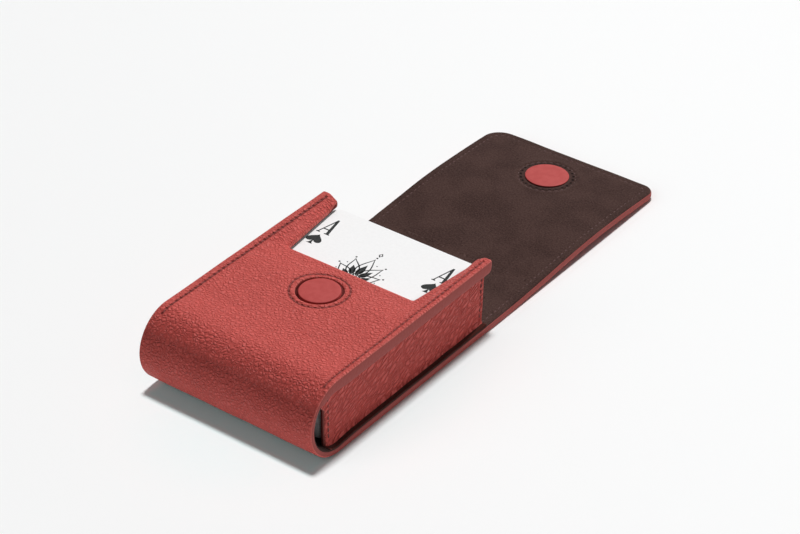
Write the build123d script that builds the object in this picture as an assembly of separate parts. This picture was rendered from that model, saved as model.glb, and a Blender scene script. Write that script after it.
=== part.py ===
from build123d import *

import math
import os

# A leather playing card case with a magnetic flap, lying open on its back, with its cards inside.
# Millimetres. +X is across the case, +Y runs from the closed end to the tip of the flap, +Z is up.
# The origin is the centre of the underside of the open case.

os.makedirs("parts", exist_ok=True)

# Hide and lining
LEATHER = 1.6
LINING = 1.4
LINING_AT_BEND = 0.8
LINING_TAPER = 8.0
STRAP = LEATHER + LINING

# Cards
CARD_WIDTH = 63.5
CARD_LENGTH = 88.9
CARD_RADIUS = 3.2
CARD_THICKNESS = 0.29
CARD_PITCH = 0.30
CARD_COUNT = 72
CARD_PROUD = 0.2
CARD_SIDE_ROOM = 1.15
CARD_HEAD_ROOM = 2.4
CARD_END_ROOM = 13.3

# Side gussets
GUSSET_LEATHER = 1.2
GUSSET_LINING = 0.8
GUSSET_RECESS = 2.6
GUSSET_FOOT = 0.5
GUSSET_FOOT_MARGIN = 0.2
GUSSET_BACK_SETBACK = 10.2
GUSSET_MOUTH_SETBACK_TOP = 0.5
GUSSET_MOUTH_SETBACK_FOOT = 2.1
GUSSET_HORN_RISE = 3.0
GUSSET_HORN_ANGLE = 46.0

# Overall sizes, which the cards and the room round them set
GUSSET_THICKNESS = GUSSET_LEATHER + GUSSET_LINING
WIDTH = CARD_WIDTH + 2 * (CARD_SIDE_ROOM + GUSSET_THICKNESS + GUSSET_RECESS)
HEIGHT = CARD_COUNT * CARD_PITCH + CARD_HEAD_ROOM + 2 * STRAP
BODY_LENGTH = CARD_END_ROOM + CARD_LENGTH - CARD_PROUD

# Thumb notch in the front panel
NOTCH_DEPTH = 33.0
ARM_TIP_WIDTH = 6.3
ARM_TAPER = 3.6
NOTCH_BASE_RADIUS = 1.2
ARM_TIP_RADIUS = 1.6

# Flap and its folds
FOLD_COUNT = 3
FOLD_ANGLE = 180.0 / FOLD_COUNT
FIRST_FOLD_SETBACK = 2.7
FLAP_BOW = 2.2
FLAP_CORNER_RADIUS = 8.0
FLAP_CLOSED_CLEARANCE = 0.9
FOLD_GAP = 0.3

# Magnets and their covers
MAGNET_SETBACK = 49.7
FLAP_BORDER = 19.2
MAGNET_RADIUS = 7.0
MAGNET_THICKNESS = 1.2
MAGNET_CLEARANCE = 0.1
FRONT_HOLE_RADIUS = 8.6
FRONT_COVER_RADIUS = 7.6
FRONT_COVER_SINK = 0.2
FLAP_COVER_RADIUS = 8.6
FLAP_MAGNET_THICKNESS = LINING
COVER_THICKNESS = 0.8

# Sewing
STITCH_INSET = 3.0
STITCH_PITCH = 2.5
STITCH_LENGTH = 1.9
STITCH_WIDTH = 0.55
STITCH_HEIGHT = 0.3
GROOVE_WIDTH = 0.8
GROOVE_DEPTH = 0.35
BOWED_SEAM_GAP = 0.01
FRONT_RING_RADIUS = 10.7
FLAP_RING_RADIUS = 11.1
GUSSET_STITCH_INSET = 1.7
SEAM_END_MARGIN = 3.5

# The closed flap lies over the front, its bow and its magnet cover just clear of it. Three folds
# of 60 degrees round the mouth carry it there, so the two links between the folds have this length.
CLOSED_LIFT = HEIGHT + FLAP_BOW + FLAP_CLOSED_CLEARANCE - STRAP
LINK_LENGTH = CLOSED_LIFT / (2 * math.sin(math.radians(FOLD_ANGLE)))

# Closed, the two magnets lie over each other, which sets how far the flap reaches past the mouth.
FLAP_MAGNET_REACH = MAGNET_SETBACK + 2 * (FIRST_FOLD_SETBACK + LINK_LENGTH)
FLAP_REACH = FLAP_MAGNET_REACH + FLAP_BORDER

# Places worked out from the sizes above
CLOSED_END_Y = -(BODY_LENGTH + FLAP_REACH) / 2
MOUTH_Y = CLOSED_END_Y + BODY_LENGTH
FLAP_TIP_Y = MOUTH_Y + FLAP_REACH
BEND_RADIUS = HEIGHT / 2
BEND_Y = CLOSED_END_Y + BEND_RADIUS
BEND_Z = HEIGHT / 2
HALF_WIDTH = WIDTH / 2
FRONT_MAGNET_Y = MOUTH_Y - MAGNET_SETBACK
FLAP_MAGNET_Y = MOUTH_Y + FLAP_MAGNET_REACH
NOTCH_BASE_Y = MOUTH_Y - NOTCH_DEPTH
NOTCH_HALF_MOUTH = HALF_WIDTH - ARM_TIP_WIDTH
NOTCH_HALF_BASE = NOTCH_HALF_MOUTH - ARM_TAPER
GUSSET_OUTER_X = HALF_WIDTH - GUSSET_RECESS
GUSSET_SKIN_X = GUSSET_OUTER_X - GUSSET_LEATHER
GUSSET_INNER_X = GUSSET_OUTER_X - GUSSET_THICKNESS
GUSSET_BACK_Y = CLOSED_END_Y + GUSSET_BACK_SETBACK
GUSSET_HORN_Z = BEND_Z + GUSSET_HORN_RISE
SEAM_X = HALF_WIDTH - STITCH_INSET
FOLD_YS = [MOUTH_Y + FIRST_FOLD_SETBACK + index * LINK_LENGTH for index in range(FOLD_COUNT)]
FLAP_ROOT_Y = FOLD_YS[-1]
FLAP_CHORD = FLAP_TIP_Y - FLAP_ROOT_Y
FLAP_ARC_RADIUS = (FLAP_CHORD**2 / 4 + FLAP_BOW**2) / (2 * FLAP_BOW)
FLAP_ARC_Y = (FLAP_ROOT_Y + FLAP_TIP_Y) / 2
FLAP_ARC_Z = FLAP_BOW - FLAP_ARC_RADIUS


def side_profile(points):
    """A face in the YZ plane, from (y, z) corners."""
    return Plane.YZ * make_face(Polyline(*points, close=True))


def across(face, low_x, high_x):
    """Extrude a YZ face from one X to another."""
    return Pos(low_x, 0, 0) * extrude(face, amount=high_x - low_x, dir=(1, 0, 0))


def strap_layer(outer_inset, inner_inset, bend_inner_inset, start_y):
    """One layer of the front, the closed end and the back, bent as a J from start_y to the mouth."""
    outer_radius = BEND_RADIUS - outer_inset
    inner_radius = BEND_RADIUS - bend_inner_inset
    taper_y = BEND_Y + LINING_TAPER
    bend_low = BEND_Z - inner_radius
    bend_high = BEND_Z + inner_radius
    outline = [
        Line((start_y, outer_inset), (BEND_Y, outer_inset)),
        ThreePointArc(
            (BEND_Y, outer_inset), (BEND_Y - outer_radius, BEND_Z), (BEND_Y, HEIGHT - outer_inset)
        ),
        Line((BEND_Y, HEIGHT - outer_inset), (MOUTH_Y, HEIGHT - outer_inset)),
        Line((MOUTH_Y, HEIGHT - outer_inset), (MOUTH_Y, HEIGHT - inner_inset)),
        Line((MOUTH_Y, HEIGHT - inner_inset), (taper_y, HEIGHT - inner_inset)),
        Line((taper_y, HEIGHT - inner_inset), (BEND_Y, bend_high)),
        ThreePointArc((BEND_Y, bend_high), (BEND_Y - inner_radius, BEND_Z), (BEND_Y, bend_low)),
        Line((BEND_Y, bend_low), (taper_y, inner_inset)),
        Line((taper_y, inner_inset), (start_y, inner_inset)),
        Line((start_y, inner_inset), (start_y, outer_inset)),
    ]
    return across(Plane.YZ * make_face(outline), -HALF_WIDTH, HALF_WIDTH)


def cavity_face(top_inset, foot_inset):
    """The space inside the lining, seen from the side, brought in from its roof and its floor."""
    roof = HEIGHT - STRAP - top_inset
    floor = STRAP + foot_inset
    inner_radius = BEND_RADIUS - LEATHER - LINING_AT_BEND
    taper_y = BEND_Y + LINING_TAPER
    upper = inner_radius - top_inset
    lower = inner_radius - foot_inset
    far_y = MOUTH_Y + 1
    same_bend = math.isclose(lower, upper)
    bend_step = None if same_bend else Line((BEND_Y - lower, BEND_Z), (BEND_Y - upper, BEND_Z))
    outline = [
        Line((far_y, floor), (taper_y, floor)),
        Line((taper_y, floor), (BEND_Y, BEND_Z - lower)),
        CenterArc((BEND_Y, BEND_Z), lower, 180, 90),
        bend_step,
        CenterArc((BEND_Y, BEND_Z), upper, 90, 90),
        Line((BEND_Y, BEND_Z + upper), (taper_y, roof)),
        Line((taper_y, roof), (far_y, roof)),
        Line((far_y, roof), (far_y, floor)),
    ]
    return Plane.YZ * make_face([edge for edge in outline if edge])


def gusset_zone():
    """The part of the side that the gusset fills: upright ends, and a horn that follows the bend."""
    horn_angle = math.radians(GUSSET_HORN_ANGLE)
    horn_radius = BEND_RADIUS - LEATHER - LINING_AT_BEND - GUSSET_THICKNESS
    horn_y = BEND_Y - horn_radius * math.sin(horn_angle)
    horn_z = BEND_Z + horn_radius * math.cos(horn_angle)
    beyond = HEIGHT
    return side_profile(
        [
            (GUSSET_BACK_Y, 0),
            (GUSSET_BACK_Y, GUSSET_HORN_Z),
            (horn_y, horn_z),
            (BEND_Y - beyond * math.sin(horn_angle), BEND_Z + beyond * math.cos(horn_angle)),
            (MOUTH_Y - GUSSET_MOUTH_SETBACK_TOP, BEND_Z + beyond * math.cos(horn_angle)),
            (MOUTH_Y - GUSSET_MOUTH_SETBACK_TOP, HEIGHT - STRAP - GUSSET_THICKNESS),
            (MOUTH_Y - GUSSET_MOUTH_SETBACK_FOOT, 0),
        ]
    )


def flange_zone():
    """The part of the side that the gusset's turned-out top edge fills, as far as the arm's tip."""
    horn_angle = math.radians(GUSSET_HORN_ANGLE)
    beyond = HEIGHT
    return side_profile(
        [
            (BEND_Y, BEND_Z),
            (BEND_Y - beyond * math.sin(horn_angle), BEND_Z + beyond * math.cos(horn_angle)),
            (MOUTH_Y, BEND_Z + beyond * math.cos(horn_angle)),
            (MOUTH_Y, BEND_Z),
        ]
    )


def foot_zone():
    """The low part of the side, where the gusset's thin foot is turned out on the back."""
    return side_profile(
        [
            (GUSSET_BACK_Y, 0),
            (GUSSET_BACK_Y, BEND_Z),
            (MOUTH_Y - GUSSET_MOUTH_SETBACK_FOOT, BEND_Z),
            (MOUTH_Y - GUSSET_MOUTH_SETBACK_FOOT, 0),
        ]
    )


def notch_cutter():
    """The thumb notch, cut down through the front panel only."""
    over_y = MOUTH_Y + 2
    outline = Polyline(
        (-NOTCH_HALF_MOUTH, over_y),
        (-NOTCH_HALF_MOUTH, MOUTH_Y),
        (-NOTCH_HALF_BASE, NOTCH_BASE_Y),
        (NOTCH_HALF_BASE, NOTCH_BASE_Y),
        (NOTCH_HALF_MOUTH, MOUTH_Y),
        (NOTCH_HALF_MOUTH, over_y),
        close=True,
    )
    face = make_face(outline)
    base_corners = face.vertices().sort_by(Axis.Y)[:2]
    return Pos(0, 0, HEIGHT / 2) * extrude(fillet(base_corners, NOTCH_BASE_RADIUS), HEIGHT)


def arm_tip_cutter():
    """What rounds the corners at the tips of the two arms beside the notch."""
    corners = Sketch()
    for side in (-1, 1):
        for corner_x, inward in ((HALF_WIDTH, -1), (NOTCH_HALF_MOUTH, 1)):
            square = Rectangle(2 * ARM_TIP_RADIUS, 2 * ARM_TIP_RADIUS)
            centre = Location((side * (corner_x + inward * ARM_TIP_RADIUS), MOUTH_Y - ARM_TIP_RADIUS))
            corners += Location((side * corner_x, MOUTH_Y)) * square - centre * Circle(ARM_TIP_RADIUS)
    return Pos(0, 0, HEIGHT / 2) * extrude(corners, HEIGHT)


def trimmed_front(solid):
    """Cut the notch and round the arms."""
    return solid - notch_cutter() - arm_tip_cutter()


def groove(length, centre):
    """A sewing groove along Y, cut to its depth on both sides of the surface it is centred on."""
    return Pos(*centre) * Box(GROOVE_WIDTH, length, 2 * GROOVE_DEPTH)


def ring_groove(radius, centre):
    """A round sewing groove about a vertical axis."""
    ring = Circle(radius + GROOVE_WIDTH / 2) - Circle(radius - GROOVE_WIDTH / 2)
    return Pos(centre[0], centre[1], centre[2] - GROOVE_DEPTH) * extrude(ring, 2 * GROOVE_DEPTH)


def stitch():
    """One stitch, lying along X with its underside at its own origin."""
    return Pos(0, 0, STITCH_HEIGHT / 2) * Box(STITCH_LENGTH, STITCH_WIDTH, STITCH_HEIGHT)


def seam_places(low_y, high_y):
    """Evenly spaced stitch centres between two ends of a seam."""
    count = max(1, int((high_y - low_y) / STITCH_PITCH))
    start = (low_y + high_y) / 2 - (count - 1) * STITCH_PITCH / 2
    return [start + index * STITCH_PITCH for index in range(count)]


def straight_seam(x, low_y, high_y, floor_z, facing=1):
    """Stitches along Y on a level groove floor, which faces up, or down when facing is -1."""
    turn = Rot(0, 0, 90) if facing > 0 else Rot(0, 180, 0) * Rot(0, 0, 90)
    return [Pos(x, y, floor_z) * turn * stitch() for y in seam_places(low_y, high_y)]


def ring_seam(radius, place):
    """Stitches round a magnet, on the level of the given place."""
    count = round(2 * math.pi * radius / STITCH_PITCH)
    return [
        place * Rot(0, 0, index * 360 / count) * Pos(radius, 0, 0) * Rot(0, 0, 90) * stitch()
        for index in range(count)
    ]


def card_outline():
    """The rounded outline of a playing card."""
    return RectangleRounded(CARD_WIDTH, CARD_LENGTH, CARD_RADIUS)


def card(index):
    """One card of the stack, counted from the bottom."""
    centre_y = MOUTH_Y + CARD_PROUD - CARD_LENGTH / 2
    slack = CARD_PITCH - CARD_THICKNESS
    low_z = STRAP + index * CARD_PITCH + slack
    return Pos(0, centre_y, low_z) * extrude(card_outline(), CARD_THICKNESS)


def level_strip(low_y, high_y, low_z, high_z):
    """A flat piece of the strap across its full width."""
    centre = ((low_y + high_y) / 2, (low_z + high_z) / 2)
    return Pos(0, centre[0], centre[1]) * Box(WIDTH, high_y - low_y, high_z - low_z)


def flap_outline(inset=0.0):
    """The flap from above, with its two rounded corners, brought in by an inset."""
    half = HALF_WIDTH - inset
    tip = FLAP_TIP_Y - inset
    radius = max(FLAP_CORNER_RADIUS - inset, STITCH_WIDTH)
    low_y = FLAP_ROOT_Y - STRAP
    face = Location((0, (low_y + tip) / 2)) * Rectangle(2 * half, tip - low_y)
    corners = face.vertices().sort_by(Axis.Y)[-2:]
    return fillet(corners, radius)


def flap_arc_band(low_inset, high_inset):
    """A layer of the bowed flap between two heights above its underside, over the full width."""
    low_radius = FLAP_ARC_RADIUS + low_inset
    high_radius = FLAP_ARC_RADIUS + high_inset
    start_y = FLAP_ROOT_Y + FOLD_GAP / 2
    end_y = FLAP_TIP_Y

    def height(radius, y):
        return FLAP_ARC_Z + math.sqrt(radius**2 - (y - FLAP_ARC_Y) ** 2)

    low_start = (start_y, height(low_radius, start_y))
    low_end = (end_y, height(low_radius, end_y))
    high_start = (start_y, height(high_radius, start_y))
    high_end = (end_y, height(high_radius, end_y))
    outline = [
        ThreePointArc(low_start, (FLAP_ARC_Y, FLAP_ARC_Z + low_radius), low_end),
        Line(low_end, high_end),
        ThreePointArc(high_end, (FLAP_ARC_Y, FLAP_ARC_Z + high_radius), high_start),
        Line(high_start, low_start),
    ]
    return across(Plane.YZ * make_face(outline), -HALF_WIDTH, HALF_WIDTH)


def flap_layer(low_inset, high_inset):
    """One layer of the bowed flap with its rounded corners."""
    return flap_arc_band(low_inset, high_inset) & extrude(flap_outline(), 2 * HEIGHT, both=True)


def flap_place(x, y, inset):
    """A place on the bowed flap, at a height above its underside, tilted as the flap is there."""
    radius = FLAP_ARC_RADIUS + inset
    slope = math.degrees(math.asin((y - FLAP_ARC_Y) / radius))
    z = FLAP_ARC_Z + math.sqrt(radius**2 - (y - FLAP_ARC_Y) ** 2)
    return Pos(x, y, z) * Rot(-slope, 0, 0)


def flap_groove(low_inset, high_inset):
    """The sewing groove that follows the flap's edge."""
    outer = flap_outline(STITCH_INSET - GROOVE_WIDTH / 2)
    inner = flap_outline(STITCH_INSET + GROOVE_WIDTH / 2)
    inner = inner + Location((0, FLAP_ROOT_Y)) * Rectangle(2 * SEAM_X - GROOVE_WIDTH, 4 * STRAP)
    return flap_arc_band(low_inset, high_inset) & extrude(outer - inner, 2 * HEIGHT, both=True)


def flap_edge_path():
    """Places and headings along the flap's seam: up one side, round the tip and down the other."""
    corner = FLAP_CORNER_RADIUS - STITCH_INSET
    side_top = FLAP_TIP_Y - STITCH_INSET - corner
    side_low = FLAP_ROOT_Y + STITCH_PITCH / 2
    places = []
    for side in (-1, 1):
        places += [(side * SEAM_X, y, 90) for y in seam_places(side_low, side_top)]
        for turn in (22.5, 67.5):
            angle = math.radians(turn)
            x = side * (SEAM_X - corner + corner * math.cos(angle))
            places.append((x, side_top + corner * math.sin(angle), side * (90 + turn)))
    tip_half = SEAM_X - corner
    places += [(x, FLAP_TIP_Y - STITCH_INSET, 0) for x in seam_places(-tip_half, tip_half)]
    return places


def write(name, *solids):
    """Write one node, whose pieces stay separate solids."""
    pieces = []
    for item in solids:
        pieces += list(item) if isinstance(item, (list, tuple)) else [item]
    shape = pieces[0] if len(pieces) == 1 else Compound(children=pieces)
    shape.label = name
    export_step(shape, f"parts/{name}.step")


def case_strap():
    """The leather and the lining of front, closed end and back, with the front's magnet."""
    start_y = FOLD_YS[0] - FOLD_GAP / 2
    seam_low = BEND_Y + SEAM_END_MARGIN
    seam_high = MOUTH_Y - SEAM_END_MARGIN
    front_centre = (seam_low + seam_high) / 2
    back_high = start_y - STITCH_PITCH / 4
    leather = trimmed_front(strap_layer(0, LEATHER, LEATHER, start_y))
    leather -= Pos(0, FRONT_MAGNET_Y, HEIGHT) * Cylinder(FRONT_HOLE_RADIUS, 2 * LEATHER)
    leather -= ring_groove(FRONT_RING_RADIUS, (0, FRONT_MAGNET_Y, HEIGHT))
    for side in (-1, 1):
        seam_length = seam_high - seam_low
        leather -= groove(seam_length, (side * SEAM_X, front_centre, HEIGHT))
        back_length = start_y - seam_low
        leather -= groove(back_length + 2, (side * SEAM_X, seam_low + back_length / 2 + 1, 0))
    write("case_leather", leather)

    lining = trimmed_front(strap_layer(LEATHER, STRAP, LEATHER + LINING_AT_BEND, start_y))
    pocket_floor = HEIGHT - FRONT_COVER_SINK - COVER_THICKNESS - MAGNET_THICKNESS
    pocket = Cylinder(MAGNET_RADIUS + MAGNET_CLEARANCE, HEIGHT)
    lining -= Pos(0, FRONT_MAGNET_Y, pocket_floor + HEIGHT / 2) * pocket
    write("case_lining", lining)

    magnet = Cylinder(MAGNET_RADIUS, MAGNET_THICKNESS)
    write("front_magnet", Pos(0, FRONT_MAGNET_Y, pocket_floor + MAGNET_THICKNESS / 2) * magnet)
    cover_height = LEATHER - FRONT_COVER_SINK
    cover_z = HEIGHT - LEATHER + cover_height / 2
    cover = Pos(0, FRONT_MAGNET_Y, cover_z) * Cylinder(FRONT_COVER_RADIUS, cover_height)
    hollow = Cylinder(MAGNET_RADIUS + MAGNET_CLEARANCE, HEIGHT)
    cover -= Pos(0, FRONT_MAGNET_Y, pocket_floor + MAGNET_THICKNESS - HEIGHT / 2) * hollow
    write("front_magnet_cover", cover)

    groove_top = HEIGHT - GROOVE_DEPTH
    for side, name in ((-1, "left"), (1, "right")):
        write(f"{name}_front_stitches", straight_seam(side * SEAM_X, seam_low, seam_high, groove_top))
        under = straight_seam(side * SEAM_X, seam_low, back_high, GROOVE_DEPTH, facing=-1)
        write(f"{name}_back_stitches", under)
    ring = ring_seam(FRONT_RING_RADIUS, Pos(0, FRONT_MAGNET_Y, groove_top))
    write("front_ring_stitches", ring)


def gusset_end_groove(low, high):
    """A groove in the outer face of the right gusset, between two (y, z) ends."""
    length = math.dist(low, high)
    lean = math.degrees(math.atan2(high[1] - low[1], high[0] - low[0]))
    centre = (GUSSET_OUTER_X, (low[0] + high[0]) / 2, (low[1] + high[1]) / 2)
    return Pos(*centre) * Rot(lean, 0, 0) * Box(2 * GROOVE_DEPTH, length, GROOVE_WIDTH)


def gusset_end_seam(low, high):
    """Stitches in that groove."""
    length = math.dist(low, high)
    lean = math.degrees(math.atan2(high[1] - low[1], high[0] - low[0]))
    floor_x = GUSSET_OUTER_X - GROOVE_DEPTH + STITCH_HEIGHT / 2
    bar = Box(STITCH_HEIGHT, STITCH_LENGTH, STITCH_WIDTH)
    pieces = []
    for place in seam_places(0, length):
        share = place / length
        y = low[0] + (high[0] - low[0]) * share
        z = low[1] + (high[1] - low[1]) * share
        pieces.append(Pos(floor_x, y, z) * Rot(lean, 0, 0) * bar)
    return pieces


def gussets():
    """Both sides: a wall with a turned-out top edge and a thin turned-out foot, and its lining."""
    zone = gusset_zone()
    flange = flange_zone()
    wall_leather = across(cavity_face(GUSSET_LINING, 0) & zone, GUSSET_SKIN_X, GUSSET_OUTER_X)
    top_band = cavity_face(GUSSET_LINING, 0) - cavity_face(GUSSET_THICKNESS, 0)
    flange_leather = across(top_band & flange, GUSSET_OUTER_X, HALF_WIDTH)
    foot_band = cavity_face(0, 0) - cavity_face(0, GUSSET_FOOT)
    foot_edge_x = HALF_WIDTH - GUSSET_FOOT_MARGIN
    foot = across(foot_band & foot_zone(), GUSSET_OUTER_X, foot_edge_x)
    neck = across(top_band & flange, GUSSET_SKIN_X, GUSSET_OUTER_X)
    leather = trimmed_front(wall_leather + neck + flange_leather + foot)

    wall_lining = across(cavity_face(0, 0) & zone, GUSSET_INNER_X, GUSSET_SKIN_X)
    lining_band = (cavity_face(0, 0) - cavity_face(GUSSET_LINING, 0)) & flange
    flange_lining = across(lining_band, GUSSET_INNER_X, HALF_WIDTH)
    lining = trimmed_front(wall_lining + flange_lining)

    low_z = STRAP + GUSSET_FOOT + STITCH_PITCH / 2
    high_z = HEIGHT - STRAP - GUSSET_THICKNESS - STITCH_PITCH / 2
    back_y = GUSSET_BACK_Y + GUSSET_STITCH_INSET
    foot_y = MOUTH_Y - GUSSET_MOUTH_SETBACK_FOOT - GUSSET_STITCH_INSET
    top_y = MOUTH_Y - GUSSET_MOUTH_SETBACK_TOP - GUSSET_STITCH_INSET
    seams = [((back_y, low_z), (back_y, high_z)), ((foot_y, low_z), (top_y, high_z))]
    stitches = []
    for low, high in seams:
        leather -= gusset_end_groove(low, high)
        stitches += gusset_end_seam(low, high)

    write("right_gusset_leather", leather)
    write("right_gusset_lining", lining)
    write("right_gusset_stitches", stitches)
    write("left_gusset_leather", mirror(leather, Plane.YZ))
    write("left_gusset_lining", mirror(lining, Plane.YZ))
    write("left_gusset_stitches", [mirror(piece, Plane.YZ) for piece in stitches])


def fold_links():
    """The two short stretches of strap between the folds, with their share of the edge seam."""
    for name, root_y, end_y in (
        ("lower_fold", FOLD_YS[0], FOLD_YS[1]),
        ("upper_fold", FOLD_YS[1], FOLD_YS[2]),
    ):
        low_y = root_y + FOLD_GAP / 2
        high_y = end_y - FOLD_GAP / 2
        centre_y = (low_y + high_y) / 2
        leather = level_strip(low_y, high_y, 0, LEATHER)
        lining = level_strip(low_y, high_y, LEATHER, STRAP)
        stitches = []
        for side in (-1, 1):
            leather -= groove(high_y - low_y + 2, (side * SEAM_X, centre_y, 0))
            lining -= groove(high_y - low_y + 2, (side * SEAM_X, centre_y, STRAP))
            seam = (side * SEAM_X, low_y, high_y)
            stitches += straight_seam(*seam, GROOVE_DEPTH, facing=-1)
            stitches += straight_seam(*seam, STRAP - GROOVE_DEPTH)
        write(f"{name}_leather", leather)
        write(f"{name}_lining", lining)
        write(f"{name}_stitches", stitches)


def flap():
    """The bowed front of the flap, with its magnet, the magnet's cover and its seams."""
    magnet_place = flap_place(0, FLAP_MAGNET_Y, STRAP)
    leather = flap_layer(0, LEATHER) - flap_groove(0, GROOVE_DEPTH)
    write("flap_leather", leather)

    lining = flap_layer(LEATHER, STRAP) - flap_groove(STRAP - GROOVE_DEPTH, STRAP)
    lining -= magnet_place * Cylinder(MAGNET_RADIUS + MAGNET_CLEARANCE, 4 * LINING)
    ring = Circle(FLAP_RING_RADIUS + GROOVE_WIDTH / 2) - Circle(FLAP_RING_RADIUS - GROOVE_WIDTH / 2)
    ring_tool = magnet_place * Pos(0, 0, -HEIGHT / 2) * extrude(ring, HEIGHT)
    lining -= flap_arc_band(STRAP - GROOVE_DEPTH, STRAP) & ring_tool
    write("flap_lining", lining)

    magnet = Cylinder(MAGNET_RADIUS, FLAP_MAGNET_THICKNESS)
    write("flap_magnet", magnet_place * Pos(0, 0, -FLAP_MAGNET_THICKNESS / 2) * magnet)
    cover = magnet_place * Cylinder(FLAP_COVER_RADIUS, 2 * COVER_THICKNESS)
    cover = cover & flap_arc_band(STRAP, STRAP + LINING)
    hollow = Cylinder(MAGNET_RADIUS + MAGNET_CLEARANCE, HEIGHT)
    cover -= magnet_place * Pos(0, 0, -HEIGHT / 2) * hollow
    write("flap_magnet_cover", cover)

    ring_stitches = []
    ring_count = round(2 * math.pi * FLAP_RING_RADIUS / STITCH_PITCH)
    for index in range(ring_count):
        angle = math.radians(index * 360 / ring_count)
        x = FLAP_RING_RADIUS * math.cos(angle)
        y = FLAP_MAGNET_Y + FLAP_RING_RADIUS * math.sin(angle)
        place = flap_place(x, y, STRAP - GROOVE_DEPTH)
        ring_stitches.append(place * Rot(0, 0, math.degrees(angle) + 90) * stitch())
    write("flap_ring_stitches", ring_stitches)

    inner_side = []
    outer_side = []
    for x, y, heading in flap_edge_path():
        top = flap_place(x, y, STRAP - GROOVE_DEPTH) * Rot(0, 0, heading)
        under = flap_place(x, y, GROOVE_DEPTH - BOWED_SEAM_GAP)
        under = under * Rot(0, 0, heading) * Rot(180, 0, 0)
        inner_side.append(top * stitch())
        outer_side.append(under * stitch())
    write("flap_inner_stitches", inner_side)
    write("flap_outer_stitches", outer_side)


def cards():
    """The stack, and the card on top of it."""
    write("playing_cards", [card(index) for index in range(CARD_COUNT - 1)])
    write("top_card", card(CARD_COUNT - 1))


case_strap()
gussets()
fold_links()
flap()
cards()
print("folds", FOLD_YS, "width", WIDTH, "length", BODY_LENGTH, FLAP_REACH, "height", HEIGHT)
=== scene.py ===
# The looks of the playing card case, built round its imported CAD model.
# Sizes are in millimetres and turned into metres where a mesh is made.

import math

import bmesh
import bpy
import numpy as np
from mathutils import Matrix, Vector, noise
from mathutils.geometry import delaunay_2d_cdt


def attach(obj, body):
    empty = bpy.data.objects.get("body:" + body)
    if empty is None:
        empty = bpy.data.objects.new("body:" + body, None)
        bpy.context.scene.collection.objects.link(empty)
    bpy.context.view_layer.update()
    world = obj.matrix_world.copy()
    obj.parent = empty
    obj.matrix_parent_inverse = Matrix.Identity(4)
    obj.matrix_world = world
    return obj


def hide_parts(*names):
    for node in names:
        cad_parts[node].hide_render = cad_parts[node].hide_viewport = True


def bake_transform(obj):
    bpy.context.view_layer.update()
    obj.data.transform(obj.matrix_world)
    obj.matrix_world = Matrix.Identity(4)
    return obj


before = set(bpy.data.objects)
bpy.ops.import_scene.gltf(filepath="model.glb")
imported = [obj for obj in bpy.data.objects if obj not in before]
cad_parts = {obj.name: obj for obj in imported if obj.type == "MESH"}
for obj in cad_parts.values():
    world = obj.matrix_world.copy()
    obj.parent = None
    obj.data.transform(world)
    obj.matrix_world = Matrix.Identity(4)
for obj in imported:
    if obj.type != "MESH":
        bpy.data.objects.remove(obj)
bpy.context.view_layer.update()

MM = 0.001
FULL_TURN = 2 * math.pi
STEP = 0.8

# Sizes shared with the CAD source
HALF_WIDTH = 37.5
HEIGHT = 30.0
LEATHER = 1.6
LINING = 1.4
LINING_AT_BEND = 0.8
LINING_TAPER = 8.0
STRAP = LEATHER + LINING
MOUTH_Y = -3.528
BEND_Y = -90.528
BEND_RADIUS = HEIGHT / 2
FOLD_YS = (-0.828, 16.550, 33.928)
LINK_LENGTH = FOLD_YS[1] - FOLD_YS[0]
FLAP_TIP_Y = 105.528
FLAP_CORNER_RADIUS = 8.0
NEAR_CORNER_RADIUS = 5.0
NOTCH_DEPTH = 33.0
NOTCH_HALF_MOUTH = 31.2
NOTCH_HALF_BASE = 27.6
NOTCH_BASE_RADIUS = 0.6
ARM_TIP_RADIUS = 0.6
FRONT_MAGNET_Y = -53.228
FLAP_MAGNET_Y = 86.330
FRONT_HOLE_RADIUS = 8.6
FRONT_COVER_RADIUS = 7.6
FLAP_COVER_RADIUS = 8.6
FRONT_RING_RADIUS = 10.7
FLAP_RING_RADIUS = 11.1
COVER_THICKNESS = 0.8
SEAM_INSET = 3.0
SEAM_X = HALF_WIDTH - SEAM_INSET
STITCH_PITCH = 2.5
SEAM_END_MARGIN = 3.5
GUSSET_OUTER_X = 34.9
GUSSET_SKIN_X = 33.7
GUSSET_INNER_X = 32.9
GUSSET_THICKNESS = 2.0
GUSSET_FOOT = 0.5
GUSSET_FOOT_X = 37.3
GUSSET_BACK_Y = -94.7
GUSSET_HORN_Z = 18.0
GUSSET_HORN_ANGLE = math.radians(46)
GUSSET_MOUTH_TOP_Y = MOUTH_Y - 0.5
GUSSET_MOUTH_FOOT_Y = MOUTH_Y - 2.1
GUSSET_STITCH_INSET = 1.7
GUSSET_RISE = 22.0
GUSSET_LEAN = (GUSSET_MOUTH_TOP_Y - GUSSET_MOUTH_FOOT_Y) / GUSSET_RISE
CARD_LENGTH = 88.9
CARD_TOP_Z = 24.6
CARD_CENTRE_Y = MOUTH_Y + 0.2 - CARD_LENGTH / 2

# Lengths along the strap's outer face, from the mouth round the closed end to the flap's tip
FRONT_RUN = MOUTH_Y - BEND_Y
BACK_START = FRONT_RUN + math.pi * BEND_RADIUS
FRONT_MAGNET_S = MOUTH_Y - FRONT_MAGNET_Y
FLAP_MAGNET_S = BACK_START + FLAP_MAGNET_Y - BEND_Y

# The softness of the leather, which the CAD model leaves flat
FRONT_SAG = 0.75
NOTCH_SAG = 2.0
SAG_EDGE = 35.2
SAG_FADE = 4.2
SAG_BEND_FADE = 14.0
NOTCH_SAG_START = -54.0
NOTCH_SAG_RUN = 17.0
FLAP_LIFT = 2.4
FLAP_LIFT_TOP_Y = 62.0
FLAP_LIFT_END_Y = 113.0
FLAP_LIFT_SHARPNESS = 1.25


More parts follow.
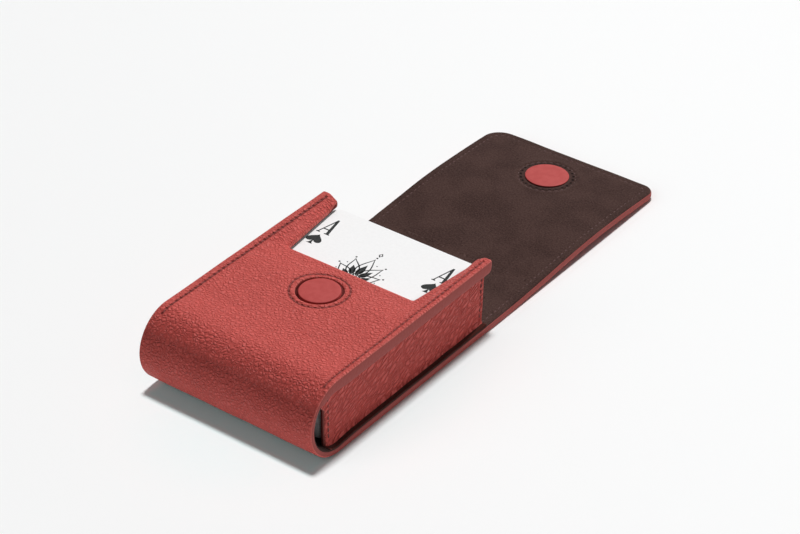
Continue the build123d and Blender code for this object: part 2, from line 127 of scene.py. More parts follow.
def run_of(y):
    """How far along the strap a place on the back or the flap is."""
    return BACK_START + y - BEND_Y


def ease(share):
    """A smooth step from 0 to 1."""
    share = np.clip(share, 0, 1)
    return share * share * (3 - 2 * share)


def front_sag(x, y):
    """How far the front panel hangs below its flat CAD face."""
    depth = FRONT_SAG + (NOTCH_SAG - FRONT_SAG) * ease((y - NOTCH_SAG_START) / NOTCH_SAG_RUN)
    across = ease((SAG_EDGE - np.abs(x)) / SAG_FADE)
    return depth * across * ease((y - BEND_Y) / SAG_BEND_FADE)


def flap_lift(y):
    """How far the flap and the strap before it stand off the table."""
    rise = ease(y / FLAP_LIFT_TOP_Y) ** FLAP_LIFT_SHARPNESS
    fall_share = (y - FLAP_LIFT_TOP_Y) / (FLAP_LIFT_END_Y - FLAP_LIFT_TOP_Y)
    fall = np.cos(np.clip(fall_share, 0, 1) * math.pi / 2)
    return FLAP_LIFT * np.where(y < FLAP_LIFT_TOP_Y, rise, fall)


def unevenness(x, s, size, height, seed):
    """Slow waves that look random, the same each run."""
    values = [noise.noise((u, v, seed)) for u, v in zip(np.ravel(x) / size, np.ravel(s) / size)]
    return height * np.reshape(values, np.shape(x))


def strap_place(x, s, t):
    """The point of the strap at x across it, s along its outer face and t below that face."""
    front_y = MOUTH_Y - s
    angle = np.clip((s - FRONT_RUN) / BEND_RADIUS, 0, math.pi)
    radius = BEND_RADIUS - t
    back_y = BEND_Y + s - BACK_START
    on_front = s < FRONT_RUN
    on_back = s > BACK_START
    y = np.where(on_front, front_y, np.where(on_back, back_y, BEND_Y - radius * np.sin(angle)))
    bend_z = BEND_RADIUS + radius * np.cos(angle)
    z = np.where(on_back, t + flap_lift(back_y), bend_z)
    z = np.where(on_front, HEIGHT - t - front_sag(x, front_y), z)
    return np.stack([x, y, z], axis=-1)


def strap_thickness(s):
    """The strap is thinner round the closed end, where its lining is skived."""
    away = np.maximum(np.maximum(FRONT_RUN - s, s - BACK_START), 0)
    return STRAP - (LINING - LINING_AT_BEND) * np.clip(1 - away / LINING_TAPER, 0, 1)


def lining_place(x, s, t):
    """A place of the lining, whose depth is counted from the inner face outwards."""
    return strap_place(x, s, strap_thickness(s) - t)


# Outlines in a flat plane, as loops of points and of flags for the edges that are free


def arc_points(before, here, after, radius, step):
    """Points round one corner of an outline."""
    if radius <= 0:
        return [here]
    back = (before - here).normalized()
    ahead = (after - here).normalized()
    half = back.angle(ahead) / 2
    centre = here + (back + ahead).normalized() * (radius / math.sin(half))
    first = here + back * (radius / math.tan(half)) - centre
    last = here + ahead * (radius / math.tan(half)) - centre
    start = math.atan2(first.y, first.x)
    turn = (math.atan2(last.y, last.x) - start + math.pi) % FULL_TURN - math.pi
    count = max(3, math.ceil(abs(turn) * radius / step) + 1)
    angles = [start + turn * index / (count - 1) for index in range(count)]
    return [centre + radius * Vector((math.cos(a), math.sin(a))) for a in angles]


def outline(corners, cuts=(), step=STEP):
    """A closed loop from (u, v, radius) corners. The straight runs after the corners in cuts aren't free."""
    count = len(corners)
    places = [Vector(corner[:2]) for corner in corners]
    arcs = []
    for index, corner in enumerate(corners):
        after = places[(index + 1) % count]
        arcs.append(arc_points(places[index - 1], places[index], after, corner[2], step))
    points = []
    free = []
    for index, arc in enumerate(arcs):
        start = arc[-1]
        end = arcs[(index + 1) % count][0]
        parts = max(1, math.ceil((end - start).length / step))
        points += arc + [start.lerp(end, part / parts) for part in range(1, parts)]
        free += [True] * (len(arc) - 1) + [index not in cuts] * parts
    return np.array([tuple(p) for p in points]), np.array(free)


def circle(centre_u, centre_v, radius, step=STEP):
    """A round loop, all free."""
    count = math.ceil(FULL_TURN * radius / step)
    angles = np.arange(count) * FULL_TURN / count
    ring = np.stack([centre_u + radius * np.cos(angles), centre_v + radius * np.sin(angles)], axis=1)
    return ring, np.ones(count, bool)


def set_ccw(loop):
    """The loop run anticlockwise, so that its free edges face away from its right side."""
    points, free = loop
    after = np.roll(points, -1, axis=0)
    if np.sum(points[:, 0] * after[:, 1] - after[:, 0] * points[:, 1]) > 0:
        return loop
    return points[::-1], np.roll(free[::-1], -1)


def unit(vectors):
    """Vectors at length one, and those without length left at nothing."""
    return vectors / np.maximum(np.linalg.norm(vectors, axis=1, keepdims=True), 1e-9)


def loop_normals(loop):
    """For each point of a loop, which way its free edges face, pointing away from its left side."""
    points, free = loop
    ahead = unit(np.roll(points, -1, axis=0) - points)
    side = np.stack([ahead[:, 1], -ahead[:, 0]], axis=1) * free[:, None]
    return unit(side + np.roll(side, 1, axis=0))


def loop_distance(points, loop, only_free=True):
    """How far each point is from a loop's free edges, or from all its edges."""
    ring, free = loop
    nearest = np.full(len(points), 1e9)
    for start, end, is_free in zip(ring, np.roll(ring, -1, axis=0), free):
        if is_free or not only_free:
            run = end - start
            share = np.clip(((points - start) @ run) / max(run @ run, 1e-12), 0, 1)
            gap = points - start - share[:, None] * run
            nearest = np.minimum(nearest, np.einsum("ij,ij->i", gap, gap))
    return np.sqrt(nearest)


def inside_loop(points, loop):
    """Which points lie inside a loop."""
    ring = loop[0]
    found = np.zeros(len(points), bool)
    for start, end in zip(ring, np.roll(ring, -1, axis=0)):
        rise = end[1] - start[1]
        if rise:
            crosses = (start[1] > points[:, 1]) != (end[1] > points[:, 1])
            at = start[0] + (points[:, 1] - start[1]) / rise * (end[0] - start[0])
            found ^= crosses & (points[:, 0] < at)
    return found


def within(points, loops, gap=None):
    """Which points are inside the first loop and outside the others, and clear of free edges by a gap."""
    found = inside_loop(points, loops[0])
    for hole in loops[1:]:
        found &= ~inside_loop(points, hole)
    if gap is not None:
        for loop in loops:
            found &= loop_distance(points, loop) > gap
    return found


# How close mesh points come to one another, as shares of the spacing or the inset
INSET_SHARE = 0.93
ROW_SHARE = 0.2
GRID_SHARE = 0.35
GRID_EDGE_SHARE = 0.45
GRID_ROW_SHARE = 0.5


def triangulate(loops, spacing, insets=(), rows=()):
    """A flat mesh that keeps to the loops: its points, its triangles and the loops' places in it."""
    ring_points = np.concatenate([loop[0] for loop in loops])
    extra = []
    for number, loop in enumerate(loops):
        normals = loop_normals(loop)
        faces_free = np.linalg.norm(normals, axis=1) > 0.5
        for inset in insets:
            moved = loop[0] + (-normals if number == 0 else normals) * inset
            extra.append(moved[faces_free & within(moved, loops, inset * INSET_SHARE)])
    last_inset = max(insets, default=0)
    rows = [np.array(row) for row in rows]
    for row in rows:
        extra.append(row[within(row, loops, last_inset + ROW_SHARE * spacing)])
    low = ring_points.min(axis=0)
    high = ring_points.max(axis=0)
    row_gap = spacing * math.sqrt(3) / 2
    grid = []
    for number, v in enumerate(np.arange(low[1] + row_gap / 2, high[1], row_gap)):
        start = low[0] + spacing * (0.5 if number % 2 else 0.25)
        grid += [(u, v) for u in np.arange(start, high[0], spacing)]
    grid = np.array(grid).reshape(-1, 2)
    clear = within(grid, loops, last_inset + GRID_SHARE * spacing)
    for loop in loops:
        clear &= loop_distance(grid, loop, only_free=False) > GRID_EDGE_SHARE * spacing
    grid = grid[clear]
    for row in rows:
        gaps = np.hypot(grid[:, :1] - row[:, 0], grid[:, 1:] - row[:, 1])
        grid = grid[gaps.min(axis=1) > GRID_ROW_SHARE * spacing]
    edges = []
    numbers = []
    for loop in loops:
        numbers.append(np.arange(len(loop[0])) + len(edges))
        edges += list(zip(numbers[-1].tolist(), np.roll(numbers[-1], -1).tolist()))
    points = np.concatenate([ring_points, *extra, grid])
    found = delaunay_2d_cdt([Vector(p) for p in points], edges, [], 0, 1e-6)
    coordinates = np.array([tuple(v) for v in found[0]])
    triangles = np.array(found[2])
    triangles = triangles[within(coordinates[triangles].mean(axis=1), loops)]
    place_of = {source: index for index, sources in enumerate(found[3]) for source in sources}
    used = np.unique(triangles)
    renumber = np.full(len(coordinates), -1)
    renumber[used] = np.arange(len(used))
    rings = [[int(renumber[place_of[number]]) for number in ring.tolist()] for ring in numbers]
    return coordinates[used], renumber[triangles], rings


# Making pieces


def new_piece(name, points, faces, places, materials, face_slots=None, edge_gap=None, flat_faces=()):
    """A mesh object from points in millimetres, with the resting place of each point for its material."""
    mesh = bpy.data.meshes.new(name)
    mesh.from_pydata((np.asarray(points, float) * MM).tolist(), [], faces)
    stored = (("grain_place", "FLOAT_VECTOR", "vector", places), ("edge_gap", "FLOAT", "value", edge_gap))
    for label, kind, key, values in stored:
        if values is not None:
            attribute = mesh.attributes.new(label, kind, "POINT")
            attribute.data.foreach_set(key, np.asarray(values, np.float32).ravel())
    for material in materials:
        mesh.materials.append(material)
    if face_slots is not None:
        mesh.polygons.foreach_set("material_index", np.asarray(face_slots, np.int32))
    smooth = np.ones(len(mesh.polygons), bool)
    smooth[list(flat_faces)] = False
    mesh.polygons.foreach_set("use_smooth", smooth)
    shape = bmesh.new()
    shape.from_mesh(mesh)
    bmesh.ops.recalc_face_normals(shape, faces=shape.faces)
    for face in shape.faces:
        if not face.smooth:
            for edge in face.edges:
                edge.smooth = False
    shape.to_mesh(mesh)
    shape.free()
    mesh.update()
    piece = bpy.data.objects.new(name, mesh)
    bpy.context.scene.collection.objects.link(piece)
    return piece


def band(low, high):
    """Quads between two closed rows of point numbers."""
    after = np.roll(range(len(low)), -1)
    return [(low[i], low[j], high[j], high[i]) for i, j in enumerate(after.tolist())]


def wall_band(low, high):
    """The same quads, each from its upper corner."""
    return [(d, a, b, c) for a, b, c, d in band(low, high)]


def numbers_from(first, size):
    """A row of point numbers."""
    return list(range(first, first + size))


WALL_SHARES = (0.2, 0.5, 0.8)
WALL_BULGE = 0.12
COARSE_SPACING = 2.6
COARSE_INSETS = (0.45, 1.0)
EDGE_INSETS = (0.1, 0.28, 0.55, 0.9)


def round_over(distance, radius):
    """How far a rounded edge falls below the face, at a distance in from the edge."""
    inside = np.clip(radius - distance, 0, radius)
    return radius - np.sqrt(np.maximum(radius * radius - inside * inside, 0))


def panel(
    name, loops, place, outer, inner, materials, spacing,
    insets=EDGE_INSETS, rows=(), bulge=0.0, wall_slot=None,
):
    """A closed panel of leather or lining between two faces that follow one outline.

    place turns (u, v, depth) into a point. outer and inner give the depth of the two faces from u, v
    and the distances to the loops. The materials are for the outer face, the edge and the inner face.
    """
    fine, fine_faces, fine_rings = triangulate(loops, spacing, insets, rows)
    coarse, coarse_faces, coarse_rings = triangulate(loops, COARSE_SPACING, COARSE_INSETS)
    points = []
    places = []
    gaps = []

    def add(flat, depth, gap):
        points.append(place(flat[:, 0], flat[:, 1], depth))
        places.append(np.column_stack([flat, depth]))
        gaps.append(gap)

    fine_gaps = [loop_distance(fine, loop) for loop in loops]
    coarse_gaps = [loop_distance(coarse, loop) for loop in loops]
    fine_depth = outer(fine[:, 0], fine[:, 1], fine_gaps)
    coarse_depth = inner(coarse[:, 0], coarse[:, 1], coarse_gaps)
    add(fine, fine_depth, np.min(fine_gaps, axis=0))
    add(coarse, coarse_depth, np.min(coarse_gaps, axis=0))
    faces = fine_faces.tolist() + (coarse_faces[:, ::-1] + len(fine)).tolist()
    slots = [0] * len(fine_faces) + [2] * len(coarse_faces)
    total = len(fine) + len(coarse)
    flat_faces = []
    for loop, fine_ring, coarse_ring in zip(loops, fine_rings, coarse_rings):
        normals = loop_normals(loop) * (1 if loop is loops[0] else -1)
        wall = [fine_ring]
        for share in WALL_SHARES:
            depth = fine_depth[fine_ring] * (1 - share) + coarse_depth[coarse_ring] * share
            flat = loop[0] + normals * bulge * math.sin(math.pi * share)
            add(flat, depth, np.zeros(len(flat)))
            wall.append(numbers_from(total, len(flat)))
            total += len(flat)
        wall.append([number + len(fine) for number in coarse_ring])
        for upper, lower in zip(wall, wall[1:]):
            flat_faces += [len(faces) + index for index in np.flatnonzero(~loop[1]).tolist()]
            slots += [wall_slot(*place_here) if wall_slot else 1 for place_here in loop[0]]
            faces += wall_band(lower, upper)
    points, places, gaps = [np.concatenate(parts) for parts in (points, places, gaps)]
    return new_piece(name, points, faces, places, materials, slots, gaps, flat_faces)


ROUND_SEGMENTS = 96


def lathe(name, profile, matrix, materials, dark_below):
    """A round piece from (radius, height) points, whose second material is for what lies below a height."""
    points = []
    faces = []
    slots = []
    for radius, height in profile:
        for index in range(ROUND_SEGMENTS):
            angle = FULL_TURN * index / ROUND_SEGMENTS
            points.append((radius * math.cos(angle), radius * math.sin(angle), height))
    rings = [numbers_from(index * ROUND_SEGMENTS, ROUND_SEGMENTS) for index in range(len(profile))]
    for index in range(len(profile) - 1):
        faces += band(rings[index], rings[index + 1])
        slots += [int(max(profile[index][1], profile[index + 1][1]) < dark_below)] * ROUND_SEGMENTS
    for ring, (_, height) in ((rings[0], profile[0]), (rings[-1], profile[-1])):
        faces += [(len(points), here, after) for here, after in zip(ring, ring[1:] + ring[:1])]
        slots += [0] * ROUND_SEGMENTS
        points.append((0, 0, height))
    turned = [tuple(matrix @ Vector(p)) for p in points]
    return new_piece(name, turned, faces, points, materials, slots)


# Thread
THREAD_LENGTH = 2.25
THREAD_HALF_WIDTH = 0.27
THREAD_HALF_HEIGHT = 0.2
THREAD_SIDES = 8
THREAD_RINGS = 7
THREAD_DIP = 0.42
THREAD_SINK = 0.12
PROBE = 0.3


def thread(name, stitches, material):
    """Sewn stitches as one piece. Each is (middle, heading, up), and dips into its holes at both ends."""
    points = []
    faces = []
    for middle, heading, up in stitches:
        heading = Vector(heading).normalized()
        up = Vector(up).normalized()
        side = heading.cross(up)
        first = len(points)
        rings = [numbers_from(first + ring * THREAD_SIDES, THREAD_SIDES) for ring in range(THREAD_RINGS)]
        for ring in range(THREAD_RINGS):
            share = 2 * ring / (THREAD_RINGS - 1) - 1
            thin = math.sqrt(max(1 - share**4, 0.05))
            centre = Vector(middle) + heading * (share * THREAD_LENGTH / 2) - up * (THREAD_DIP * share**2)
            for number in range(THREAD_SIDES):
                angle = FULL_TURN * number / THREAD_SIDES
                out = side * (THREAD_HALF_WIDTH * thin * math.cos(angle))
                points.append(tuple(centre + out + up * (THREAD_HALF_HEIGHT * thin * math.sin(angle))))
        for low, high in zip(rings, rings[1:]):
            faces += band(low, high)
        faces += [tuple(rings[0][::-1]), tuple(rings[-1])]
    return new_piece(name, points, faces, points, [material])


def surface_frame(place, u, v, depth, heading_u, heading_v):
    """The point, heading and upright of a place on a panel, for a heading in its flat plane."""
    step = PROBE / math.hypot(heading_u, heading_v)
    us = np.array([u, u + heading_u * step, u])
    vs = np.array([v, v + heading_v * step, v])
    here, ahead, above = place(us, vs, np.array([depth, depth, depth - PROBE]))
    return here, ahead - here, above - here


def walk(points):
    """Places and headings of the stitches along a line of points."""
    runs = np.diff(points, axis=0)
    steps = np.linalg.norm(runs, axis=1)
    reached = np.concatenate([[0], np.cumsum(steps)])
    found = []
    for at in np.arange(STITCH_PITCH / 2, reached[-1], STITCH_PITCH):
        index = min(np.searchsorted(reached, at, side="right") - 1, len(steps) - 1)
        heading = runs[index] / steps[index]
        found.append((*(points[index] + heading * (at - reached[index])), *heading))
    return found


def seam_places(low, high):
    """Evenly spaced stitch middles between two ends of a seam, as in the CAD source."""
    count = max(1, int((high - low) / STITCH_PITCH))
    start = (low + high) / 2 - (count - 1) * STITCH_PITCH / 2
    return [start + index * STITCH_PITCH for index in range(count)]


FRONT_SEAM_SHIFT = 0.45
FRONT_SEAM_PAST = 6.0
front_places = [MOUTH_Y - y for y in seam_places(BEND_Y - FRONT_SEAM_PAST, MOUTH_Y - 2.0)]
back_places = [run_of(y) for y in seam_places(BEND_Y + SEAM_END_MARGIN, FOLD_YS[0] - 6.3)]

# Materials


def colour(red, green, blue):
    """A linear colour from a screen colour, each part from 0 to 255."""
    parts = [value / 255 for value in (red, green, blue)]
    return (*[p / 12.92 if p <= 0.04045 else ((p + 0.055) / 1.055) ** 2.4 for p in parts], 1.0)


class Shader:
    """A material, or the world, under construction."""

    def __init__(self, name, kind="materials", surface="BSDF_PRINCIPLED"):
        self.owner = getattr(bpy.data, kind).new(name)
        self.owner.use_nodes = True
        self.tree = self.owner.node_tree
        self.surface = next(n for n in self.tree.nodes if n.type == surface)

    def add(self, kind, inputs=None, **settings):
        """A node, with its inputs set to values or linked to sockets."""
        made = self.tree.nodes.new(kind)
        for key, value in settings.items():
            setattr(made, key, value)
        for key, value in (inputs or {}).items():
            self.put(made.inputs[key], value)
        return made

    def put(self, socket, value):
        """Set a socket, or link it."""
        if isinstance(value, bpy.types.NodeSocket):
            self.tree.links.new(value, socket)
        else:
            socket.default_value = value

    def math(self, operation, first, second=0.0, third=0.0):
        """A Math node's result."""
        return self.add("ShaderNodeMath", {0: first, 1: second, 2: third}, operation=operation).outputs[0]

    def times(self, first, second):
        """A product."""
        return self.math("MULTIPLY", first, second)

    def less(self, first, second):
        """A difference."""
        return self.math("SUBTRACT", first, second)

    def apart(self, first, second):
        """How far two values are from each other."""
        return self.math("ABSOLUTE", self.less(first, second))

    def far(self, first, second):
        """The length of a flat vector."""
        return self.math("SQRT", self.math("ADD", self.times(first, first), self.times(second, second)))

    def fit(self, value, low, high, to_low=0.0, to_high=1.0):
        """A smooth step of a value between two limits."""
        names = ("Value", "From Min", "From Max", "To Min", "To Max")
        inputs = dict(zip(names, (value, low, high, to_low, to_high)))
        return self.add("ShaderNodeMapRange", inputs, interpolation_type="SMOOTHSTEP").outputs["Result"]

    def mix(self, share, first, second, blend="MIX"):
        """A colour between two others."""
        inputs = {0: share, 6: first, 7: second}
        return self.add("ShaderNodeMix", data_type="RGBA", blend_type=blend, inputs=inputs).outputs[2]

    def vector(self, operation, first, second=(0.0, 0.0, 0.0), output=0):
        """A Vector Math node's result."""
        inputs = {0: first, ("Scale" if operation == "SCALE" else 1): second}
        return self.add("ShaderNodeVectorMath", inputs, operation=operation).outputs[output]

    def split(self, vector):
        """The three parts of a vector."""
        return list(self.add("ShaderNodeSeparateXYZ", {0: vector}).outputs)

    def stored(self, name, output):
        """A value that the piece stores: grain_place is its resting place in millimetres."""
        return self.add("ShaderNodeAttribute", attribute_name=name).outputs[output]

    def stretched(self, vector, scale, turn=0.0):
        """The coordinates scaled, after a turn about the third axis."""
        turned = self.add("ShaderNodeMapping", {"Vector": vector, "Rotation": (0, 0, turn)}).outputs[0]
        return self.add("ShaderNodeMapping", {"Vector": turned, "Scale": scale}).outputs[0]

    def noise(self, vector, scale, detail=2.0, roughness=0.5, output=0):
        """Noise between 0 and 1."""
        inputs = {"Vector": vector, "Scale": scale, "Detail": detail, "Roughness": roughness}
        return self.add("ShaderNodeTexNoise", inputs).outputs[output]

    def warped(self, vector, scale, amount):
        """The coordinates pushed about by noise."""
        centred = self.vector("SUBTRACT", self.noise(vector, scale, 1.0, output="Color"), (0.5, 0.5, 0.5))
        return self.vector("ADD", vector, self.vector("SCALE", centred, amount))

    def finish(self, base, roughness, height=None, depth=0.0, **others):
        """Set the surface: its colour, roughness, bump and other sockets."""
        for key, value in {"Base_Color": base, "Roughness": roughness, **others}.items():
            self.put(self.surface.inputs[key.replace("_", " ")], value)
        if height is not None:
            bump = self.add("ShaderNodeBump", {"Height": height, "Strength": 1.0, "Distance": depth * MM})
            self.put(self.surface.inputs["Normal"], bump.outputs[0])
        return self.owner


WHITE = (1, 1, 1, 1)
LEATHER_MID = colour(200, 83, 76)
LEATHER_CREASE = colour(140, 42, 36)
# The crest colour is a painted sheen highlight on the raised grain
LEATHER_CREST_PAINTED_SHEEN = colour(212, 106, 98)
# The paler edge colour is partly wear and partly a painted highlight of the rounded edges
LEATHER_WORN_AND_HIGHLIGHT = colour(205, 118, 110)
# The needle holes' colour is painted shade, the dark inside the holes
HOLE_PAINTED_SHADE = colour(100, 24, 19)
RIGHT_SEAM_SHARE = 0.5
RING_SHARE = 0.75
GRAIN_CELL = 1.45
HOLE_RADIUS = 0.46
HOLE_STRETCH = 0.72


def seam_marks(make, across, along, pitch):
    """Where a seam's needle holes and its groove are, from the distance to its line and the place along it.

    The holes are at whole pitches.
    """
    phase = make.math("FRACT", make.math("DIVIDE", along, pitch))
    gap = make.times(make.times(make.less(0.5, make.apart(phase, 0.5)), pitch), HOLE_STRETCH)
    hole = make.fit(make.far(across, gap), 0.6 * HOLE_RADIUS, 1.2 * HOLE_RADIUS, 1.0, 0.0)
    return hole, make.fit(across, 0.35, 0.95, 1.0, 0.0)


def ring_marks(make, place, magnet_s, radius):
    """The marks of a ring seam round a magnet."""
    x, s, _ = make.split(place)
    from_magnet = make.less(s, magnet_s)
    across = make.apart(make.far(x, from_magnet), radius)
    pitch = FULL_TURN * radius / round(FULL_TURN * radius / STITCH_PITCH)
    along = make.math("MULTIPLY_ADD", make.math("ARCTAN2", from_magnet, x), radius, pitch / 2)
    return seam_marks(make, across, along, pitch)


def strap_seams(make, place):
    """The marks of the front's straight seams, the back's and the ring's."""
    x, s, _ = make.split(place)
    across = make.apart(make.apart(x, FRONT_SEAM_SHIFT), SEAM_X + FRONT_SEAM_SHIFT)
    marks = []
    for places in (front_places, back_places):
        low = min(places)
        high = max(places)
        hole, trough = seam_marks(make, across, make.less(s, low - STITCH_PITCH / 2), STITCH_PITCH)
        inside = make.times(make.fit(s, low - 2.2, low - 1.5), make.fit(s, high + 1.5, high + 2.2, 1.0, 0.0))
        hole = make.times(hole, make.fit(x, -1.0, 1.0, 1.0, RIGHT_SEAM_SHARE))
        marks.append((make.times(hole, inside), make.times(trough, inside)))
    hole, trough = ring_marks(make, place, FRONT_MAGNET_S, FRONT_RING_RADIUS)
    marks.append((make.times(hole, RING_SHARE), trough))
    return [make.math("MAXIMUM", make.math("MAXIMUM", a, b), c) for a, b, c in zip(*marks)]


def grained_leather(name, grain, sewn=False, edged=False):
    """Pebbled leather: warped cells with darker creases, fine wrinkles, and crests painted paler as a sheen
    highlight.
    """
    stretch, turn, painted_shade_tone, depth, crease, push, fibre = grain
    make = Shader(name)
    place = make.stored("grain_place", "Vector")
    flat = make.stretched(place, stretch, turn)
    cells = {"Vector": make.warped(flat, 0.8, 1.1 * push), "Scale": 1 / GRAIN_CELL, "Randomness": 1.0}
    gap = make.add("ShaderNodeTexVoronoi", cells, feature="DISTANCE_TO_EDGE").outputs["Distance"]
    pebble = make.fit(gap, 0.0, 0.34)
    wrinkle = make.noise(make.warped(flat, 1.0, 0.8 * push), 0.7, 2.0, 0.55)
    slow = make.noise(place, 0.12, 3.0)
    base = LEATHER_MID
    for share, shade in (
        (make.fit(gap, 0.02, 0.2, 1.3 * crease, 0.0), LEATHER_CREASE),
        # The wrinkles' crests are painted paler, a painted sheen highlight
        (make.fit(wrinkle, 0.5, 0.75, 0.0, fibre * crease), LEATHER_CREST_PAINTED_SHEEN),
        (make.fit(wrinkle, 0.25, 0.5, fibre * crease, 0.0), LEATHER_CREASE),
        (make.fit(slow, 0.35, 0.7, 0.0, 0.12), LEATHER_CREASE),
    ):
        base = make.mix(share, base, shade)
    # A tone below 1 darkens this copy of the leather, as painted shade of the gusset's sides
    if painted_shade_tone != 1.0:
        base = make.mix(1.0, base, (painted_shade_tone, painted_shade_tone, painted_shade_tone, 1.0), "MULTIPLY")
    # Paler near the edges: partly wear, partly a painted highlight where the rounded edge catches the light
    from_edge = make.stored("edge_gap", "Fac")
    base = make.mix(make.fit(from_edge, 0.05, 0.45, 0.35, 0.0), base, LEATHER_WORN_AND_HIGHLIGHT)
    height = make.math("MULTIPLY_ADD", wrinkle, 1.2 * fibre, pebble)
    height = make.math("MULTIPLY_ADD", make.noise(place, 5.0, 2.0), 0.12, height)
    if edged:
        trough = make.fit(make.apart(from_edge, SEAM_INSET), 0.3, 0.9, 1.0, 0.0)
        base = make.mix(make.times(trough, 0.55), base, LEATHER_CREASE)
    if sewn:
        hole, trough = strap_seams(make, place)
        base = make.mix(make.times(trough, 0.4), base, LEATHER_CREASE)
        # The needle holes are painted dark, as the shade inside them
        base = make.mix(hole, base, HOLE_PAINTED_SHADE)
        height = make.less(height, make.times(hole, 1.5))
    rough = make.fit(pebble, 0.0, 1.0, 0.62, 0.5)
    return make.finish(base, rough, height, depth, Specular_IOR_Level=0.2)


def edge_paint(name, shade):
    """Smooth painted and burnished edge of the leather."""
    make = Shader(name)
    place = make.stored("grain_place", "Vector")
    base = make.mix(make.fit(make.noise(place, 1.4, 3.0), 0.3, 0.7, 0.0, 0.15), shade, colour(158, 84, 80))
    return make.finish(base, 0.6, make.noise(place, 0.8, 3.0), 0.1, Specular_IOR_Level=0.18)


def smooth_leather(name):
    """The plain leather of the magnet covers."""
    make = Shader(name)
    place = make.stored("grain_place", "Vector")
    share = make.fit(make.noise(place, 0.35, 3.0), 0.3, 0.7)
    base = make.mix(share, colour(173, 63, 60), colour(180, 71, 68))
    return make.finish(base, 0.55, make.noise(place, 3.5, 3.0), 0.05, Specular_IOR_Level=0.15)


def suede(name, dark=colour(48, 31, 28), pale=colour(84, 62, 57), ringed=False):
    """Brushed suede: fine nap with soft cloudy patches, and the marks of the ring seam."""
    make = Shader(name)
    place = make.stored("grain_place", "Vector")
    nap = make.noise(place, 1.3, 4.0, 0.8)
    cloud = make.fit(make.noise(make.warped(place, 0.12, 6.0), 0.07, 2.0), 0.35, 0.65)
    share = make.math("MULTIPLY_ADD", cloud, 0.24, make.fit(nap, 0.28, 0.72, 0.0, 0.76))
    base = make.mix(share, dark, pale)
    height = nap
    if ringed:
        hole, trough = ring_marks(make, place, FLAP_MAGNET_S, FLAP_RING_RADIUS - 1.0)
        base = make.mix(make.times(trough, 0.35), base, colour(36, 22, 20))
        # The needle holes round the ring are painted dark, as the shade inside them
        base = make.mix(hole, base, colour(28, 16, 14))
        height = make.less(nap, make.times(hole, 1.2))
    return make.finish(
        base, 0.95, height, 0.14, Sheen_Weight=0.05, Sheen_Roughness=0.5, Specular_IOR_Level=0.06
    )


def thread_material(name, shade):
    """Waxed twisted thread."""
    make = Shader(name)
    place = make.stretched(make.stored("grain_place", "Vector"), (1, 1, 1), 0.8)
    lay = make.add("ShaderNodeTexWave", {"Vector": place, "Scale": 1.6}).outputs["Fac"]
    return make.finish(make.mix(lay, shade, colour(90, 30, 26)), 0.6, lay, 0.06)


def metal(name):
    """Brushed steel of the hidden magnets."""
    make = Shader(name)
    place = make.add("ShaderNodeTexCoord").outputs["Object"]
    streak = make.noise(make.stretched(place, (400, 4000, 400)), 1.0, 3.0)
    roughness = make.fit(streak, 0.2, 0.8, 0.25, 0.45)
    return make.finish(colour(185, 186, 188), roughness, streak, 0.01, Metallic=1.0)


CARD_PITCH = 0.3


def card_stock(name):
    """White card, greyer on the stack's sides, with lines between the cards painted darker as the shade of
    their gaps.
    """
    make = Shader(name)
    place = make.add("ShaderNodeTexCoord").outputs["Object"]
    upright = make.split(make.add("ShaderNodeNewGeometry").outputs["Normal"])[2]
    side = make.less(1.0, make.fit(make.math("ABSOLUTE", upright), 0.3, 0.7))
    layer = make.math("FRACT", make.math("DIVIDE", make.times(make.split(place)[2], 1 / MM), CARD_PITCH))
    # Lines at each card's pitch are painted darker, as the shade in the gaps between the cards
    line = make.fit(make.apart(layer, 0.5), 0.3, 0.5)
    stack = make.noise(make.stretched(place, (25, 25, 5200)), 1.0, 2.0)
    side_grey_and_gap_shade = make.math("MULTIPLY_ADD", make.fit(stack, 0.3, 0.7), 0.5, make.times(line, 0.5))
    fibre = make.noise(make.stretched(place, (900, 900, 900)), 1.0, 3.0)
    face = make.mix(make.fit(fibre, 0.3, 0.7), colour(241, 241, 241), colour(244, 244, 244))
    return make.finish(make.mix(make.times(side_grey_and_gap_shade, side), face, colour(190, 190, 188)), 0.42, fibre, 0.008)


def ink(name):
    """Flat dark printing ink."""
    make = Shader(name)
    patch = make.noise(make.stored("grain_place", "Vector"), 1.5, 2.0)
    base = make.mix(make.fit(patch, 0.3, 0.7), colour(50, 52, 52), colour(62, 64, 64))
    return make.finish(base, 0.85, patch, 0.004, Specular_IOR_Level=0.08)


# Each grain is its stretch, turn, painted shade tone, bump depth, crease, push and fibre
STRAP_GRAIN = ((1.0, 1.0, 0.2), 0.0, 1.0, 0.3, 0.22, 1.0, 0.65)
# The gusset's tone below 1 darkens its copy of the leather, painted shade of the case's sides
GUSSET_GRAIN = ((0.34, 0.85, 0.2), math.radians(-24), 0.95, 0.65, 0.45, 1.1, 0.5)
strap_leather = grained_leather("strap_grain", STRAP_GRAIN, sewn=True)
flap_leather = grained_leather("flap_grain", STRAP_GRAIN, edged=True)
side_leather = grained_leather("gusset_grain", GUSSET_GRAIN)
paint = edge_paint("edge_paint", colour(146, 66, 61))
pale_paint = edge_paint("pale_edge_paint", colour(176, 100, 95))
# The darker edge paint is painted shade: on the notch's walls, the covers' sides, the front cover's brim and
# the gusset linings' edges
shaded_edge_paint = edge_paint("painted_shade_edge_paint", colour(96, 30, 28))
